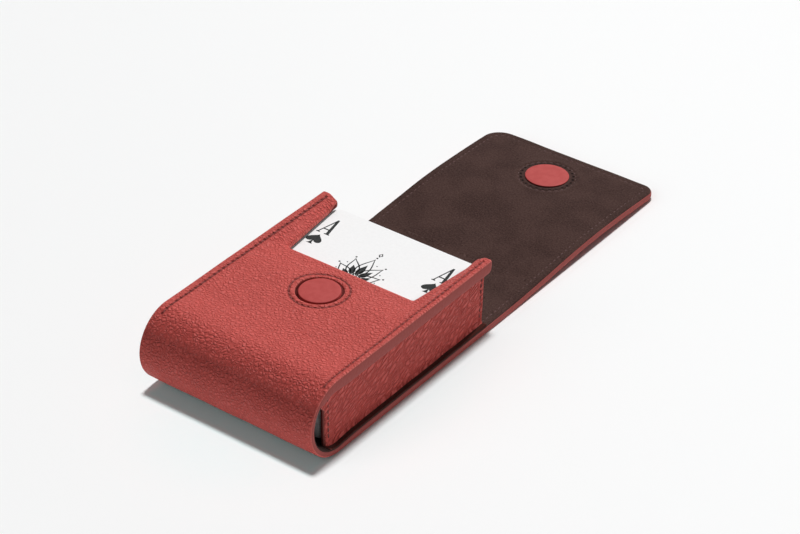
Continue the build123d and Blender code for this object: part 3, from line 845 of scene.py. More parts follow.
# The gusset foot is dark suede, darkened further as painted shade of the groove under the gusset
foot_shade_suede = suede("foot_suede_painted_shade", colour(44, 18, 13), colour(74, 34, 26))
cover_skin = smooth_leather("cover_smooth")
suede_skin = suede("dark_suede")
flap_suede = suede("flap_suede_skin", ringed=True)
red_thread = thread_material("waxed_red_thread", colour(158, 56, 48))
dark_thread = thread_material("waxed_dark_thread", colour(92, 34, 30))
brown_thread = thread_material("waxed_brown_thread", colour(40, 27, 23))
steel = metal("magnet_steel")
card_white = card_stock("card_white")
card_ink = ink("card_ink")

# The camera, where the photograph was taken from
CAMERA_PLACE = Vector((468.43, -626.14, 544.31)) * MM
CAMERA_RIGHT = Vector((0.79807899, 0.6025497, -0.00194505))
CAMERA_UP = Vector((-0.33879337, 0.45139766, 0.82550543))
CAMERA_BACK = Vector((0.49828604, -0.65815957, 0.56439083))

camera_data = bpy.data.cameras.new("camera")
camera_data.lens = 117.87
camera_data.sensor_width = 36.0
camera_data.clip_start = 0.05
camera_data.clip_end = 20.0
camera = bpy.data.objects.new("camera", camera_data)
camera_turn = Matrix((CAMERA_RIGHT, CAMERA_UP, CAMERA_BACK)).transposed()
camera.matrix_world = Matrix.Translation(CAMERA_PLACE) @ camera_turn.to_4x4()
bpy.context.scene.collection.objects.link(camera)
bpy.context.scene.camera = camera

# Light: a key from above and behind for the object with weak ones from the side and the front, and two
# lamps for the table alone. Each is its name, strength, spread in degrees and where it comes from.
ROOM_STRENGTH = 0.12
OBJECT_LAMPS = (
    ("key", 2.88, 5, (-0.14, 0.72, 1.0)),
    ("side", 0.72, 10, (0.55, 0.75, 0.35)),
    ("front", 0.245, 20, (0.75, -0.66, 0.16)),
)
TABLE_LAMPS = (
    ("table_key", 2.48, 8, (-0.07, 0.07, 1.0)),
    ("table_fill", 0.72, 50, (-0.3, -1.0, 0.6)),
)


def sun(name, strength, spread, come_from):
    """A distant lamp that shines from a direction."""
    data = bpy.data.lights.new(name, "SUN")
    data.energy = strength
    data.angle = math.radians(spread)
    lamp = bpy.data.objects.new(name, data)
    lamp.rotation_euler = Vector(come_from).to_track_quat("Z", "Y").to_euler()
    bpy.context.scene.collection.objects.link(lamp)
    return lamp


room = Shader("studio", "worlds", "BACKGROUND")
bpy.context.scene.world = room.owner
room.put(room.surface.inputs["Color"], WHITE)
room.put(room.surface.inputs["Strength"], ROOM_STRENGTH)
plain = room.add("ShaderNodeBackground", {"Color": WHITE, "Strength": 1.0})
rays = room.add("ShaderNodeLightPath").outputs
seen = room.math("MAXIMUM", rays["Is Camera Ray"], rays["Is Transmission Ray"])
seen = room.math("MAXIMUM", seen, rays["Is Glossy Ray"])
chosen = room.add("ShaderNodeMixShader", {0: seen, 1: room.surface.outputs[0], 2: plain.outputs[0]})
world_out = next(n for n in room.tree.nodes if n.type == "OUTPUT_WORLD")
room.put(world_out.inputs["Surface"], chosen.outputs[0])

# The table
FLOOR_SIZE = 3.0
FLOOR_DROP = 0.02
TABLE_RISE = (0.6, 0.8, 0.0)
TABLE_REACH = 0.22
# The table's two end colours paint the light falling off across it
TABLE_PAINTED_DIM = (0.895, 0.895, 0.895, 1)
TABLE_PAINTED_BRIGHT = (0.965, 0.965, 0.965, 1)
CASE_HALF_SIZE = (0.0375, 0.053)
floor_mesh = bpy.data.meshes.new("floor")
floor_corners = ((-1, -1), (1, -1), (1, 1), (-1, 1))
floor_points = [(u * FLOOR_SIZE, v * FLOOR_SIZE, -FLOOR_DROP * MM) for u, v in floor_corners]
floor_mesh.from_pydata(floor_points, [], [(0, 1, 2, 3)])
floor = bpy.data.objects.new("floor", floor_mesh)
bpy.context.scene.collection.objects.link(floor)
table = Shader("table_white")
table_place = table.add("ShaderNodeTexCoord").outputs["Object"]
table_run = table.vector("DOT_PRODUCT", table_place, TABLE_RISE, "Value")
# The table's colour is painted darker towards -X and -Y and lighter towards +X and +Y, a painted falloff of
# the light
table_painted_light = table.mix(table.fit(table_run, -TABLE_REACH, TABLE_REACH), TABLE_PAINTED_DIM, TABLE_PAINTED_BRIGHT)
# The table is painted less red near the case and under its closed end, cancelling the red light the leather
# bounces there
spread = {"Vector": table_place, "Location": (0, 1, 0), "Scale": (*[1 / half for half in CASE_HALF_SIZE], 0)}
case_gap = table.vector("LENGTH", table.add("ShaderNodeMapping", spread).outputs[0], output="Value")
painted_bounce_tint = table.mix(table.fit(case_gap, 0.95, 1.75, 1.0, 0.0), (0.995, 1, 1, 1), (0.9, 1, 1, 1))
table_x, table_y, _ = table.split(table_place)
# In the shadow under the closed end the red is cut further, painted to cancel the bounce there
bend_shadow_mask = table.fit(table.apart(table_x, 0.001), 0.034, 0.0385, 1.0, 0.0)
bend_shadow_mask = table.times(bend_shadow_mask, table.fit(table_y, -0.109, -0.103))
bend_shadow_mask = table.times(bend_shadow_mask, table.fit(table_y, -0.09, -0.08, 1.0, 0.0))
painted_bounce_tint = table.mix(bend_shadow_mask, painted_bounce_tint, (0.64, 1, 1, 1))
table_painted_light = table.mix(1.0, table_painted_light, painted_bounce_tint, "MULTIPLY")
floor_mesh.materials.append(table.finish(table_painted_light, 0.9, Specular_IOR_Level=0.1))

for lamps, state in ((OBJECT_LAMPS, "EXCLUDE"), (TABLE_LAMPS, "INCLUDE")):
    lit = bpy.data.collections.new(f"table_{state.lower()}")
    lit.objects.link(floor)
    lit.collection_objects[0].light_linking.link_state = state
    for facts in lamps:
        sun(*facts).light_linking.receiver_collection = lit

# The strap's leather and suede. Spacings are between mesh points.
CASE_SPACING = 0.95
SHOWN_SPACING = 1.0
UNDER_SPACING = 1.3
HIDDEN_SPACING = 1.6
EDGE_RADIUS = 0.5
NOTCH_ROLL = 2.2
NOTCH_TIP_ROLL = 0.6
NOTCH_TIP_RUN = 7.0
CASE_INSETS = (0.1, 0.28, 0.55, 0.9, 1.4, 2.0)
HOLE_EDGE_RADIUS = 0.45
GROOVE_DEPTH = 0.28
GROOVE_REACH = 0.5
BLEND_REACH = 6.0
PAINT_DEPTH = 0.3
BAND_X = 36.0
BAND_TIP_RADIUS = 2.2
BAND_CORNER = 0.3
BAND_END_S = FRONT_RUN + BEND_RADIUS * GUSSET_HORN_ANGLE
FLANGE_AT_HORN = 0.2
FLANGE_TAPER = 4.0
LINING_INSET = 0.2
FRONT_SEAM_LOW = 2.0
FRONT_SEAM_HIGH = FRONT_RUN + FRONT_SEAM_PAST
BACK_SEAM_LOW = BACK_START + SEAM_END_MARGIN
CASE_END_S = run_of(FOLD_YS[0] - BLEND_REACH)


def dress(piece, slot, nodes, body="case", span=None):
    """Hide the CAD nodes that a piece replaces; attach it to its body, or bake it in place on a span of two
    bodies. The slot is not used.
    """
    if nodes:
        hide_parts(*nodes)
    bodies = SPANS[span][1] if span is not None else (body,)
    if len(bodies) == 1:
        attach(piece, bodies[0])
    else:
        ends = [(0, (FOLD_YS[span] + reach) * MM, 0) for reach in (-BLEND_REACH, BLEND_REACH)]
        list(bodies)
        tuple(ends[0])
        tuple(ends[1])
        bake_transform(piece)


def groove(distance, depth=GROOVE_DEPTH):
    """The depth of a sewn groove at a distance from its middle."""
    return depth * np.exp(-((distance / GROOVE_REACH) ** 2))


def swell(distance, height, reach):
    """A rounded ridge beside a groove."""
    return height * np.exp(-((distance / reach) ** 2))


def seam_rows(low_s, high_s):
    """Rows of mesh points along the two straight seams."""
    lines = [side * (SEAM_X + offset) for offset in (-0.85, -0.45, 0.0, 0.45, 0.85) for side in (-1, 1)]
    return [[(x, s) for s in np.arange(low_s, high_s, STEP)] for x in lines]


def ring_rows(s, radius):
    """Rows of mesh points round a ring seam."""
    return [circle(0, s, radius + offset)[0] for offset in (-1.6, -0.9, -0.45, 0.0, 0.45, 0.9, 1.6)]


def flange_share(s):
    """How much of its thickness the gusset's flange has left as it runs out round the bend."""
    gone = np.clip((s - FRONT_RUN + FLANGE_TAPER) / (BAND_END_S - FRONT_RUN + FLANGE_TAPER), 0, 1)
    return 1 - (1 - FLANGE_AT_HORN) * gone


def leather_inner(x, s, gaps):
    """The leather's inner face: a painted border, then a step down to make room for the lining.

    Along the front's two sides the border runs on over the edge of the gusset, as one band.
    """
    border = strap_thickness(s) - PAINT_DEPTH
    edge = STRAP + GUSSET_THICKNESS * flange_share(s) - round_over(s, BAND_TIP_RADIUS)
    border = border + (edge - border) * ease((np.abs(x) - BAND_X) / 0.8) * ease((BAND_END_S - s) / 1.5)
    share = ease((gaps[0] - 0.5) / 0.45)
    return (border - round_over(gaps[0], BAND_CORNER)) * (1 - share) + LEATHER * share


def seam_groove(x, s, low_s, high_s):
    """The groove of the straight seams, between two ends."""
    shift = np.where(s < BACK_START, FRONT_SEAM_SHIFT, 0.0)
    depth = groove(np.abs(np.abs(x - shift) - SEAM_X - shift))
    return depth * ease((s - low_s + 1) / 1.5) * ease((high_s + 1 - s) / 1.5)


def notch_gap(x, s):
    """Distance from the notch's edge."""
    here = np.stack([np.abs(x), s], axis=-1)
    nearest = np.full(np.shape(x), 1e9)
    corners = np.array([(NOTCH_HALF_MOUTH, 0.0), (NOTCH_HALF_BASE, NOTCH_DEPTH), (0.0, NOTCH_DEPTH)])
    for start, run in zip(corners, np.diff(corners, axis=0)):
        share = np.clip(((here - start) @ run) / (run @ run), 0, 1)
        nearest = np.minimum(nearest, np.linalg.norm(here - start - share[..., None] * run, axis=-1))
    return nearest


def on_notch(x, s):
    """The material slot of the case's edge: in the notch, the darker edge paint as painted shade of its
    walls.
    """
    return 3 if notch_gap(np.array([x]), np.array([s]))[0] < 0.2 and s > 0.6 else 1


def case_outer(x, s, gaps):
    """The outer face of the front, closed end and back, rolled over at the notch."""
    depth = np.maximum(round_over(gaps[0], EDGE_RADIUS), round_over(gaps[1], HOLE_EDGE_RADIUS))
    roll = NOTCH_TIP_ROLL + (NOTCH_ROLL - NOTCH_TIP_ROLL) * ease(s / NOTCH_TIP_RUN)
    depth = np.maximum(depth, round_over(notch_gap(x, s), roll))
    depth += seam_groove(x, s, FRONT_SEAM_LOW, FRONT_SEAM_HIGH) + seam_groove(x, s, BACK_SEAM_LOW, 1e6)
    from_ring = np.hypot(x, s - FRONT_MAGNET_S) - FRONT_RING_RADIUS
    depth += groove(from_ring) - swell(from_ring + 1.1, 0.1, 0.7)
    on_table = ease((s - BACK_START + 8) / 8)
    return depth + unevenness(x, s, 17.0, 0.16, 1.0) * (1 - on_table)


def case_outline(inset):
    """The outline of the front, closed end and back, from the arms' tips to the first fold."""
    half = HALF_WIDTH - inset
    tip_radius = max(ARM_TIP_RADIUS - inset * 0.6, 0.3)
    arm = [
        (half, inset, tip_radius),
        (NOTCH_HALF_MOUTH + inset, inset, tip_radius),
        (NOTCH_HALF_BASE + inset, NOTCH_DEPTH + inset, NOTCH_BASE_RADIUS + inset),
    ]
    corners = arm + [(-u, v, radius) for u, v, radius in arm[::-1]]
    return set_ccw(outline(corners + [(-half, CASE_END_S, 0), (half, CASE_END_S, 0)], cuts=(6,)))


def suede_inner(x, s, gaps):
    """The suede's face against the leather."""
    return strap_thickness(s) - LEATHER + 0 * x


case_loops = [case_outline(0), circle(0, FRONT_MAGNET_S, FRONT_HOLE_RADIUS)]
case_rows = seam_rows(1.2, FRONT_RUN) + seam_rows(BACK_SEAM_LOW, CASE_END_S - 0.5)
case_rows += ring_rows(FRONT_MAGNET_S, FRONT_RING_RADIUS)
case_materials = [strap_leather, paint, paint, shaded_edge_paint]
case_skin = panel(
    "case_skin", case_loops, strap_place, case_outer, leather_inner, case_materials, CASE_SPACING,
    CASE_INSETS, case_rows, WALL_BULGE, on_notch,
)
dress(case_skin, "grained_leather", ["case_leather"])
case_suede = panel(
    "case_suede", [case_outline(LINING_INSET)], lining_place, lambda x, s, gaps: round_over(gaps[0], 0.35),
    suede_inner, [suede_skin] * 3, HIDDEN_SPACING,
)
dress(case_suede, "suede", ["case_lining"])

# The strap from the first fold to the flap's tip, in spans that each cross one fold at most. Each has its
# name, its bodies and the start of its nodes' names.
SPANS = (
    ("mouth_fold", ("case", "lower_fold"), ("lower_fold",)),
    ("middle_fold", ("lower_fold", "upper_fold"), ("lower_fold", "upper_fold")),
    ("flap_fold", ("upper_fold", "flap"), ("upper_fold", "flap")),
    ("flap", ("flap",), ("flap",)),
)
LAST_SPAN = len(SPANS) - 1
SPAN_ENDS = (FOLD_YS[0] - BLEND_REACH, *[y + LINK_LENGTH / 2 for y in FOLD_YS], FLAP_TIP_Y)
RING_STITCHES = round(FULL_TURN * FLAP_RING_RADIUS / STITCH_PITCH)


def span_outline(span, inset):
    """The outline of one span of the strap, in x and run."""
    half = HALF_WIDTH - inset
    low, high = [run_of(y) for y in SPAN_ENDS[span : span + 2]]
    corners = [(-half, low, 0), (half, low, 0), (half, high, 0), (-half, high, 0)]
    if span < LAST_SPAN:
        return set_ccw(outline(corners, cuts=(0, 2)))
    tip = high - inset
    corners[2:] = [(half, tip, NEAR_CORNER_RADIUS - inset), (-half, tip, FLAP_CORNER_RADIUS - inset)]
    return set_ccw(outline(corners, cuts=(0,)))


def span_outer(x, s, gaps):
    """The strap's underside in a span, with the groove that follows its edge."""
    return round_over(gaps[0], EDGE_RADIUS) + groove(gaps[0] - SEAM_INSET)


def suede_outer(x, s, gaps):
    """The suede face in a span, with its seam groove and the pucker round the magnet."""
    depth = round_over(gaps[0], 0.4) + groove(gaps[0] + LINING_INSET - SEAM_INSET, 0.1)
    from_ring = np.hypot(x, s - FLAP_MAGNET_S) - FLAP_RING_RADIUS
    pucker = 0.5 + 0.5 * np.cos(np.arctan2(s - FLAP_MAGNET_S, x) * RING_STITCHES)
    depth += groove(from_ring, 0.34)
    depth -= pucker * swell(from_ring + 0.4, 0.3, 0.8) + swell(from_ring - 1.0, 0.2, 0.9)
    return depth + unevenness(x, s, 13.0, 0.14, 5.0)


def edge_seam_rows(span):
    """Rows of mesh points along the seam that follows the edge of one span."""
    low = run_of(SPAN_ENDS[span]) + 0.3
    rows = [span_outline(span, SEAM_INSET + offset)[0] for offset in (-0.8, -0.4, 0.0, 0.4, 0.8)]
    return [points[points[:, 1] > low] for points in rows]


for span, (name, _, parts) in enumerate(SPANS):
    rows = edge_seam_rows(span)
    skin = panel(
        f"{name}_skin", [span_outline(span, 0)], strap_place, span_outer, leather_inner,
        [flap_leather, paint, paint], UNDER_SPACING, rows=rows, bulge=WALL_BULGE,
    )
    dress(skin, "grained_leather", [f"{part}_leather" for part in parts], span=span)
    if span == LAST_SPAN:
        rows += ring_rows(FLAP_MAGNET_S, FLAP_RING_RADIUS)
    suede_piece = panel(
        f"{name}_suede", [span_outline(span, LINING_INSET)], lining_place, suede_outer, suede_inner,
        [flap_suede if span == LAST_SPAN else suede_skin, suede_skin, suede_skin], SHOWN_SPACING, rows=rows,
    )
    dress(suede_piece, "suede", [f"{part}_lining" for part in parts], span=span)

# Seams of the strap
SUEDE_SINK = THREAD_SINK + 0.05


def ring_stitches(place, s, radius, depth):
    """Stitches round a magnet."""
    count = round(FULL_TURN * radius / STITCH_PITCH)
    found = []
    for index in range(count):
        u = math.cos(FULL_TURN * index / count)
        v = math.sin(FULL_TURN * index / count)
        found.append(surface_frame(place, radius * u, s + radius * v, depth, -v, u))
    return found


def straight_stitches(x, places):
    """Stitches along the strap at one x."""
    return [surface_frame(strap_place, x, s, THREAD_SINK, 0.0, 1.0) for s in places]


for side, side_name in ((-1, "left"), (1, "right")):
    front_x = side * SEAM_X + (1 + side) * FRONT_SEAM_SHIFT
    for part, x, places in (("front", front_x, front_places), ("back", side * SEAM_X, back_places)):
        seam = thread(f"{side_name}_{part}_thread", straight_stitches(x, places), red_thread)
        dress(seam, "red_thread", [f"{side_name}_{part}_stitches"])

stitches = ring_stitches(strap_place, FRONT_MAGNET_S, FRONT_RING_RADIUS, THREAD_SINK)
dress(thread("front_ring_thread", stitches, red_thread), "red_thread", ["front_ring_stitches"])
stitches = ring_stitches(lining_place, FLAP_MAGNET_S, FLAP_RING_RADIUS, SUEDE_SINK)
dress(thread("flap_ring_thread", stitches, brown_thread), "dark_thread", ["flap_ring_stitches"], "flap")

# The edge seam runs on over the folds and round the flap, on both faces
seam_start = run_of(SPAN_ENDS[0]) + 1.0
seam_tip = run_of(FLAP_TIP_Y) - SEAM_INSET
seam_corners = [
    (-SEAM_X, seam_start, 0),
    (-SEAM_X, seam_tip, FLAP_CORNER_RADIUS - SEAM_INSET),
    (SEAM_X, seam_tip, NEAR_CORNER_RADIUS - SEAM_INSET),
    (SEAM_X, seam_start, 0),
]
seam_line = outline(seam_corners, cuts=(3,), step=0.5)[0]
line_end = int(np.argmin(np.hypot(seam_line[:, 0] - SEAM_X, seam_line[:, 1] - seam_start)))
edge_places = walk(seam_line[: line_end + 1])
FACES = (
    ("outer", strap_place, THREAD_SINK, red_thread, "red_thread"),
    ("inner", lining_place, SUEDE_SINK, brown_thread, "dark_thread"),
)
for span, (name, _, parts) in enumerate(SPANS):
    low = run_of(SPAN_ENDS[span])
    high = run_of(SPAN_ENDS[span + 1])
    chosen = [p for p in edge_places if low <= p[1] < high or (span == LAST_SPAN and p[1] >= low)]
    for face, place, sink, material, slot in FACES:
        stitches = [surface_frame(place, u, v, sink, ahead_u, ahead_v) for u, v, ahead_u, ahead_v in chosen]
        nodes = [f"{part}_stitches" for part in parts if part != "flap"] or [f"flap_{face}_stitches"]
        dress(thread(f"{name}_{face}_thread", stitches, material), slot, nodes, span=span)

# Gussets
FILLET = 0.9
CAVITY_RADIUS = BEND_RADIUS - LEATHER - LINING_AT_BEND


def arc_line(radius, first, last, way):
    """Points (y, z) round the bend between two angles, above its middle or below it."""
    count = max(3, math.ceil(radius * abs(last - first) / STEP))
    angles = [first + (last - first) * index / count for index in range(count + 1)]
    return [(BEND_Y - radius * math.sin(a), BEND_RADIUS + way * radius * math.cos(a)) for a in angles]


def roof_line(inset, start_y):
    """Points (y, z) of the cavity's roof, brought in by an inset, from the mouth to the horn's angle."""
    z = HEIGHT - STRAP - inset
    line = [(start_y, z), (BEND_Y + LINING_TAPER, z)]
    return line + arc_line(CAVITY_RADIUS - inset, 0.0, GUSSET_HORN_ANGLE, 1)


def floor_line():
    """Points (y, z) of the cavity's floor, from the closed end towards the mouth."""
    start = math.asin((BEND_Y - GUSSET_BACK_Y) / CAVITY_RADIUS)
    line = [(BEND_Y + LINING_TAPER, STRAP), (GUSSET_MOUTH_FOOT_Y, STRAP)]
    return arc_line(CAVITY_RADIUS, start, 0.0, -1) + line


def densify(points, closed=True):
    """Points at most a step apart along a line."""
    points = [Vector(p) for p in points]
    found = []
    for start, end in zip(points, points[1:] + (points[:1] if closed else [])):
        parts = max(1, math.ceil((end - start).length / STEP))
        found += [tuple(start.lerp(end, part / parts)) for part in range(parts)]
    return np.array(found if closed else found + [tuple(points[-1])])


def wall_loop(inset):
    """The gusset wall's outline in y and z, with its roof brought in."""
    horn_radius = CAVITY_RADIUS - GUSSET_THICKNESS
    horn_y = BEND_Y - horn_radius * math.sin(GUSSET_HORN_ANGLE)
    horn_z = BEND_RADIUS + horn_radius * math.cos(GUSSET_HORN_ANGLE)
    corners = roof_line(inset, GUSSET_MOUTH_TOP_Y) + [(horn_y, horn_z), (GUSSET_BACK_Y, GUSSET_HORN_Z)]
    corners += floor_line() + [(GUSSET_MOUTH_TOP_Y, HEIGHT - STRAP - GUSSET_THICKNESS)]
    points = densify(corners)
    return set_ccw((points, np.ones(len(points), bool)))


def free_gap(y, z):
    """Distance from the gusset wall's two free ends."""
    mouth_gap = GUSSET_MOUTH_FOOT_Y + np.clip(z - STRAP, 0, GUSSET_RISE) * GUSSET_LEAN - y
    back_gap = np.where(z < GUSSET_HORN_Z, np.maximum(y - GUSSET_BACK_Y, 0), 9.0)
    return np.minimum(np.maximum(mouth_gap, 0), back_gap)


def roof_height(y):
    """The height of the cavity's roof at y."""
    radius = np.sqrt(np.maximum(CAVITY_RADIUS**2 - np.minimum(y - BEND_Y, 0) ** 2, 0))
    taper = (LINING - LINING_AT_BEND) * np.clip((y - BEND_Y) / LINING_TAPER, 0, 1)
    return BEND_RADIUS + np.where(y < BEND_Y, radius, CAVITY_RADIUS - taper)


def wall_outer(y, z, gaps):
    """The outer face of a gusset: hollow at roof and foot, with a groove along both free ends."""
    roof_gap = roof_height(y) - GUSSET_THICKNESS - z
    foot_gap = z - (HEIGHT - roof_height(y)) - GUSSET_FOOT
    depth = round_over(free_gap(y, z), 0.5) - round_over(np.maximum(roof_gap, 0), FILLET)
    depth -= round_over(np.maximum(foot_gap, 0), FILLET)
    depth += groove(np.minimum(np.abs(free_gap(y, z) - GUSSET_STITCH_INSET), 9), 0.22)
    return depth + unevenness(y, z, 9.0, 0.22, 3.0)


def end_seams(z, offset=0.0):
    """The y of a gusset's two end seams at a height."""
    mouth_y = GUSSET_MOUTH_FOOT_Y - GUSSET_STITCH_INSET + offset + GUSSET_LEAN * (z - STRAP)
    return GUSSET_BACK_Y + GUSSET_STITCH_INSET + offset, mouth_y


def sweep(name, line, section, materials, top=0.0, scale_at=None):
    """A strip along a line of (y, z) points that runs away from the mouth, from a section of (x, height)."""
    points = []
    places = []
    reached = 0.0
    for index, (y, z) in enumerate(line):
        before = line[max(index - 1, 0)]
        ahead = line[min(index + 1, len(line) - 1)] - before
        up_y, up_z = np.array([ahead[1], -ahead[0]]) / math.hypot(*ahead)
        reached += math.hypot(y - before[0], z - before[1])
        for x, height in section:
            height = top - (top - height) * (scale_at(y, z) if scale_at else 1.0)
            points.append((x, y + up_y * height, z + up_z * height))
            places.append((x, reached, height))
    size = len(section)
    rings = [numbers_from(index * size, size) for index in range(len(line))]
    faces = [face for low, high in zip(rings, rings[1:]) for face in band(low, high)]
    slots = [0] * len(faces) + [1, 1]
    faces += [rings[0], rings[-1][::-1]]
    return new_piece(name, points, faces, places, materials, slots)


def rounded_section(side, high_x, high, radius):
    """A closed section from the wall outwards, whose outer corners are rounded."""
    points = [(side * GUSSET_SKIN_X, 0.0)]
    for centre_z, start in ((radius, -90), (high - radius, 0)):
        for turn in (0, 22.5, 45, 67.5, 90):
            angle = math.radians(start + turn)
            x = high_x - radius + radius * math.cos(angle)
            points.append((side * x, centre_z + radius * math.sin(angle)))
    return points + [(side * GUSSET_SKIN_X, high)]


def flange_scale(y, z):
    """The flange's share of its thickness at a place on its line."""
    run = FRONT_RUN + math.atan2(BEND_Y - y, z - BEND_RADIUS) * BEND_RADIUS if y < BEND_Y else MOUTH_Y - y
    return float(flange_share(run))


def side_panel(name, side, inset, base_x, way, outer, thickness, materials, spacing, **others):
    """An upright panel of a gusset, whose outer face is at base_x from the middle."""

    def place(y, z, t):
        return np.stack([side * (base_x + way * t), y, z], axis=-1)

    def inner(y, z, gaps):
        return thickness + 0 * y

    return panel(name, [wall_loop(inset)], place, outer, inner, materials, spacing, **others)


def gusset(side, name):
    """One side's wall, lining, flange, foot and thread."""
    leather = [f"{name}_gusset_leather"]
    wall_rows = []
    for offset in (-0.45, 0.0, 0.45):
        wall_rows.append([(end_seams(z, offset)[0], z) for z in np.arange(4, 24, STEP)])
        wall_rows.append([(end_seams(z, offset)[1], z) for z in np.arange(4, 24.5, STEP)])
    wall = side_panel(
        f"{name}_gusset_wall", side, 0.8, GUSSET_OUTER_X, -1, wall_outer, GUSSET_OUTER_X - GUSSET_SKIN_X,
        [side_leather, pale_paint, side_leather], SHOWN_SPACING, rows=wall_rows, bulge=0.05,
    )
    dress(wall, "gusset_leather", leather)
    # The lining's edges take the darker edge paint: partly the lining's own dark end, partly painted shade
    lining = side_panel(
        f"{name}_gusset_suede", side, 0.05, GUSSET_INNER_X, 1, lambda y, z, gaps: round_over(gaps[0], 0.25),
        GUSSET_SKIN_X - GUSSET_INNER_X, [suede_skin, shaded_edge_paint, suede_skin], HIDDEN_SPACING,
    )
    dress(lining, "suede", [f"{name}_gusset_lining"])

    # The turned-out top edge is flush with the front's own edge, and the thin foot lies on the back's lining
    line = densify(roof_line(GUSSET_THICKNESS, MOUTH_Y - BAND_TIP_RADIUS), closed=False)
    section = rounded_section(side, HALF_WIDTH - 0.15, GUSSET_THICKNESS, 0.3)
    flange = sweep(f"{name}_gusset_flange", line, section, [paint, paint], GUSSET_THICKNESS, flange_scale)
    dress(flange, "gusset_leather", leather)
    line = densify(floor_line()[::-1], closed=False)
    section = rounded_section(side, GUSSET_FOOT_X, GUSSET_FOOT, 0.2)
    # The foot's dark suede carries painted shade of the groove it lies in
    dress(sweep(f"{name}_gusset_foot", line, section, [foot_shade_suede, pale_paint]), "gusset_leather", leather)

    low_z = STRAP + GUSSET_FOOT + STITCH_PITCH / 2
    high_z = HEIGHT - STRAP - GUSSET_THICKNESS - STITCH_PITCH / 2
    x = side * (GUSSET_OUTER_X - 0.02)
    stitches = []
    for z in seam_places(low_z, high_z):
        for y, lean in zip(end_seams(z), (0, GUSSET_LEAN)):
            stitches.append(((x, y, z), (0, lean, 1), (side, 0, 0)))
    dress(thread(f"{name}_gusset_thread", stitches, dark_thread), "dark_thread", [f"{name}_gusset_stitches"])


gusset(-1, "left")
gusset(1, "right")

# Covers of the magnets
front_face_z = HEIGHT - float(front_sag(0.0, FRONT_MAGNET_Y))
flap_face_z = STRAP + float(flap_lift(FLAP_MAGNET_Y))
flap_tilt = math.atan(float(flap_lift(FLAP_MAGNET_Y + 1.0) - flap_lift(FLAP_MAGNET_Y - 1.0)) / 2)
front_matrix = Matrix.Translation((0, FRONT_MAGNET_Y, front_face_z))
flap_matrix = Matrix.Translation((0, FLAP_MAGNET_Y, flap_face_z)) @ Matrix.Rotation(flap_tilt, 4, "X")
COVER_DOME = 0.05
FRONT_RADIUS = FRONT_COVER_RADIUS - 0.1
FLAP_RADIUS = FLAP_COVER_RADIUS - 0.1
# The front cover's brim is a sheet in the gap round it, there to carry painted shade
FRONT_SHADE_BRIM_RADIUS = FRONT_HOLE_RADIUS - 0.2
FRONT_BOTTOM = -LEATHER + 0.02
FLAP_BOTTOM = -0.25


def disc_profile(radius, top, edge, rest):
    """The side view of a round cover: a domed top, a rolled edge, and the rest down to its underside."""
    flat = radius - edge
    profile = [(flat * share, top - COVER_DOME * share**2) for share in (0.08, 0.3, 0.55, 0.8, 1.0)]
    for turn in (18, 36, 54, 72, 90):
        angle = math.radians(turn)
        profile.append((flat + edge * math.sin(angle), top - COVER_DOME - edge * (1 - math.cos(angle))))
    return profile + rest + [(0.5, rest[-1][1])]


# Below a height each cover takes the darker edge paint, as painted shade of its side and of the front cover's
# gap
flap_rest = [(FLAP_RADIUS, FLAP_BOTTOM + 0.05), (FLAP_RADIUS - 0.3, FLAP_BOTTOM)]
profile = disc_profile(FLAP_RADIUS, COVER_THICKNESS - 0.25, 0.25, flap_rest)
cap = lathe("flap_magnet_cap", profile, flap_matrix, [cover_skin, shaded_edge_paint], 0.34)
dress(cap, "cover_leather", ["flap_magnet_cover"], "flap")
front_rest = [(FRONT_RADIUS, -1.25), (FRONT_SHADE_BRIM_RADIUS, -1.28), (FRONT_SHADE_BRIM_RADIUS, FRONT_BOTTOM)]
profile = disc_profile(FRONT_RADIUS, -0.1, 0.35, front_rest)
cap = lathe("front_magnet_cap", profile, front_matrix, [cover_skin, shaded_edge_paint], -0.5)
dress(cap, "cover_leather", ["front_magnet_cover"])

# The magnets, the cards and the top card keep their CAD meshes
KEPT_NODES = (
    ("front_magnet", steel),
    ("flap_magnet", steel),
    ("playing_cards", card_white),
    ("top_card", card_white),
)
for name, material in KEPT_NODES:
    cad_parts[name].data.materials.clear()
    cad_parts[name].data.materials.append(material)

# The print on the top card: indices at the corners, and a plain palmette with a small spade between
INK_THICKNESS = 0.02
INDEX_X = 25.7
LETTER_FOOT_Y = MOUTH_Y - 16.1
PIP_Y = MOUTH_Y - 20.5
PETAL_STROKE = 0.5
PETAL_PIVOT = np.array([0.0, -37.0])
PETAL_START = 2.4
LETTER_OUTLINE = np.array([
    (-2.9, 0.0), (-1.3, 0.0), (-1.3, 0.45), (-1.85, 0.6), (-1.42, 2.6), (0.77, 2.6), (1.15, 0.6), (0.6, 0.45),
    (0.6, 0.0), (2.9, 0.0), (2.9, 0.45), (2.45, 0.6), (0.35, 10.0), (-0.35, 10.0), (-2.35, 0.6), (-2.9, 0.45),
])
LETTER_COUNTER = np.array([(-1.28, 3.2), (0.65, 3.2), (-0.25, 7.9)])
SPADE_SIDE = (
    ((0.0, 3.3), (0.35, 2.1), (3.25, 1.0), (3.25, -0.65)),
    ((3.25, -0.65), (3.25, -1.9), (1.3, -2.5), (0.3, -1.1)),
    ((0.3, -1.1), (0.35, -2.2), (0.7, -2.9), (1.35, -3.3)),
)
CURVE_PARTS = 8
DIAMOND = np.array([(0, -1.3), (0.9, 0), (0, 1.3), (-0.9, 0)])
# Each petal is its angle, length and half width
PETALS = ((0, 15.6, 2.7), (27, 13.6, 2.6), (54, 11.2, 2.4), (80, 8.6, 2.0))
MIRROR = np.array([-1, 1])


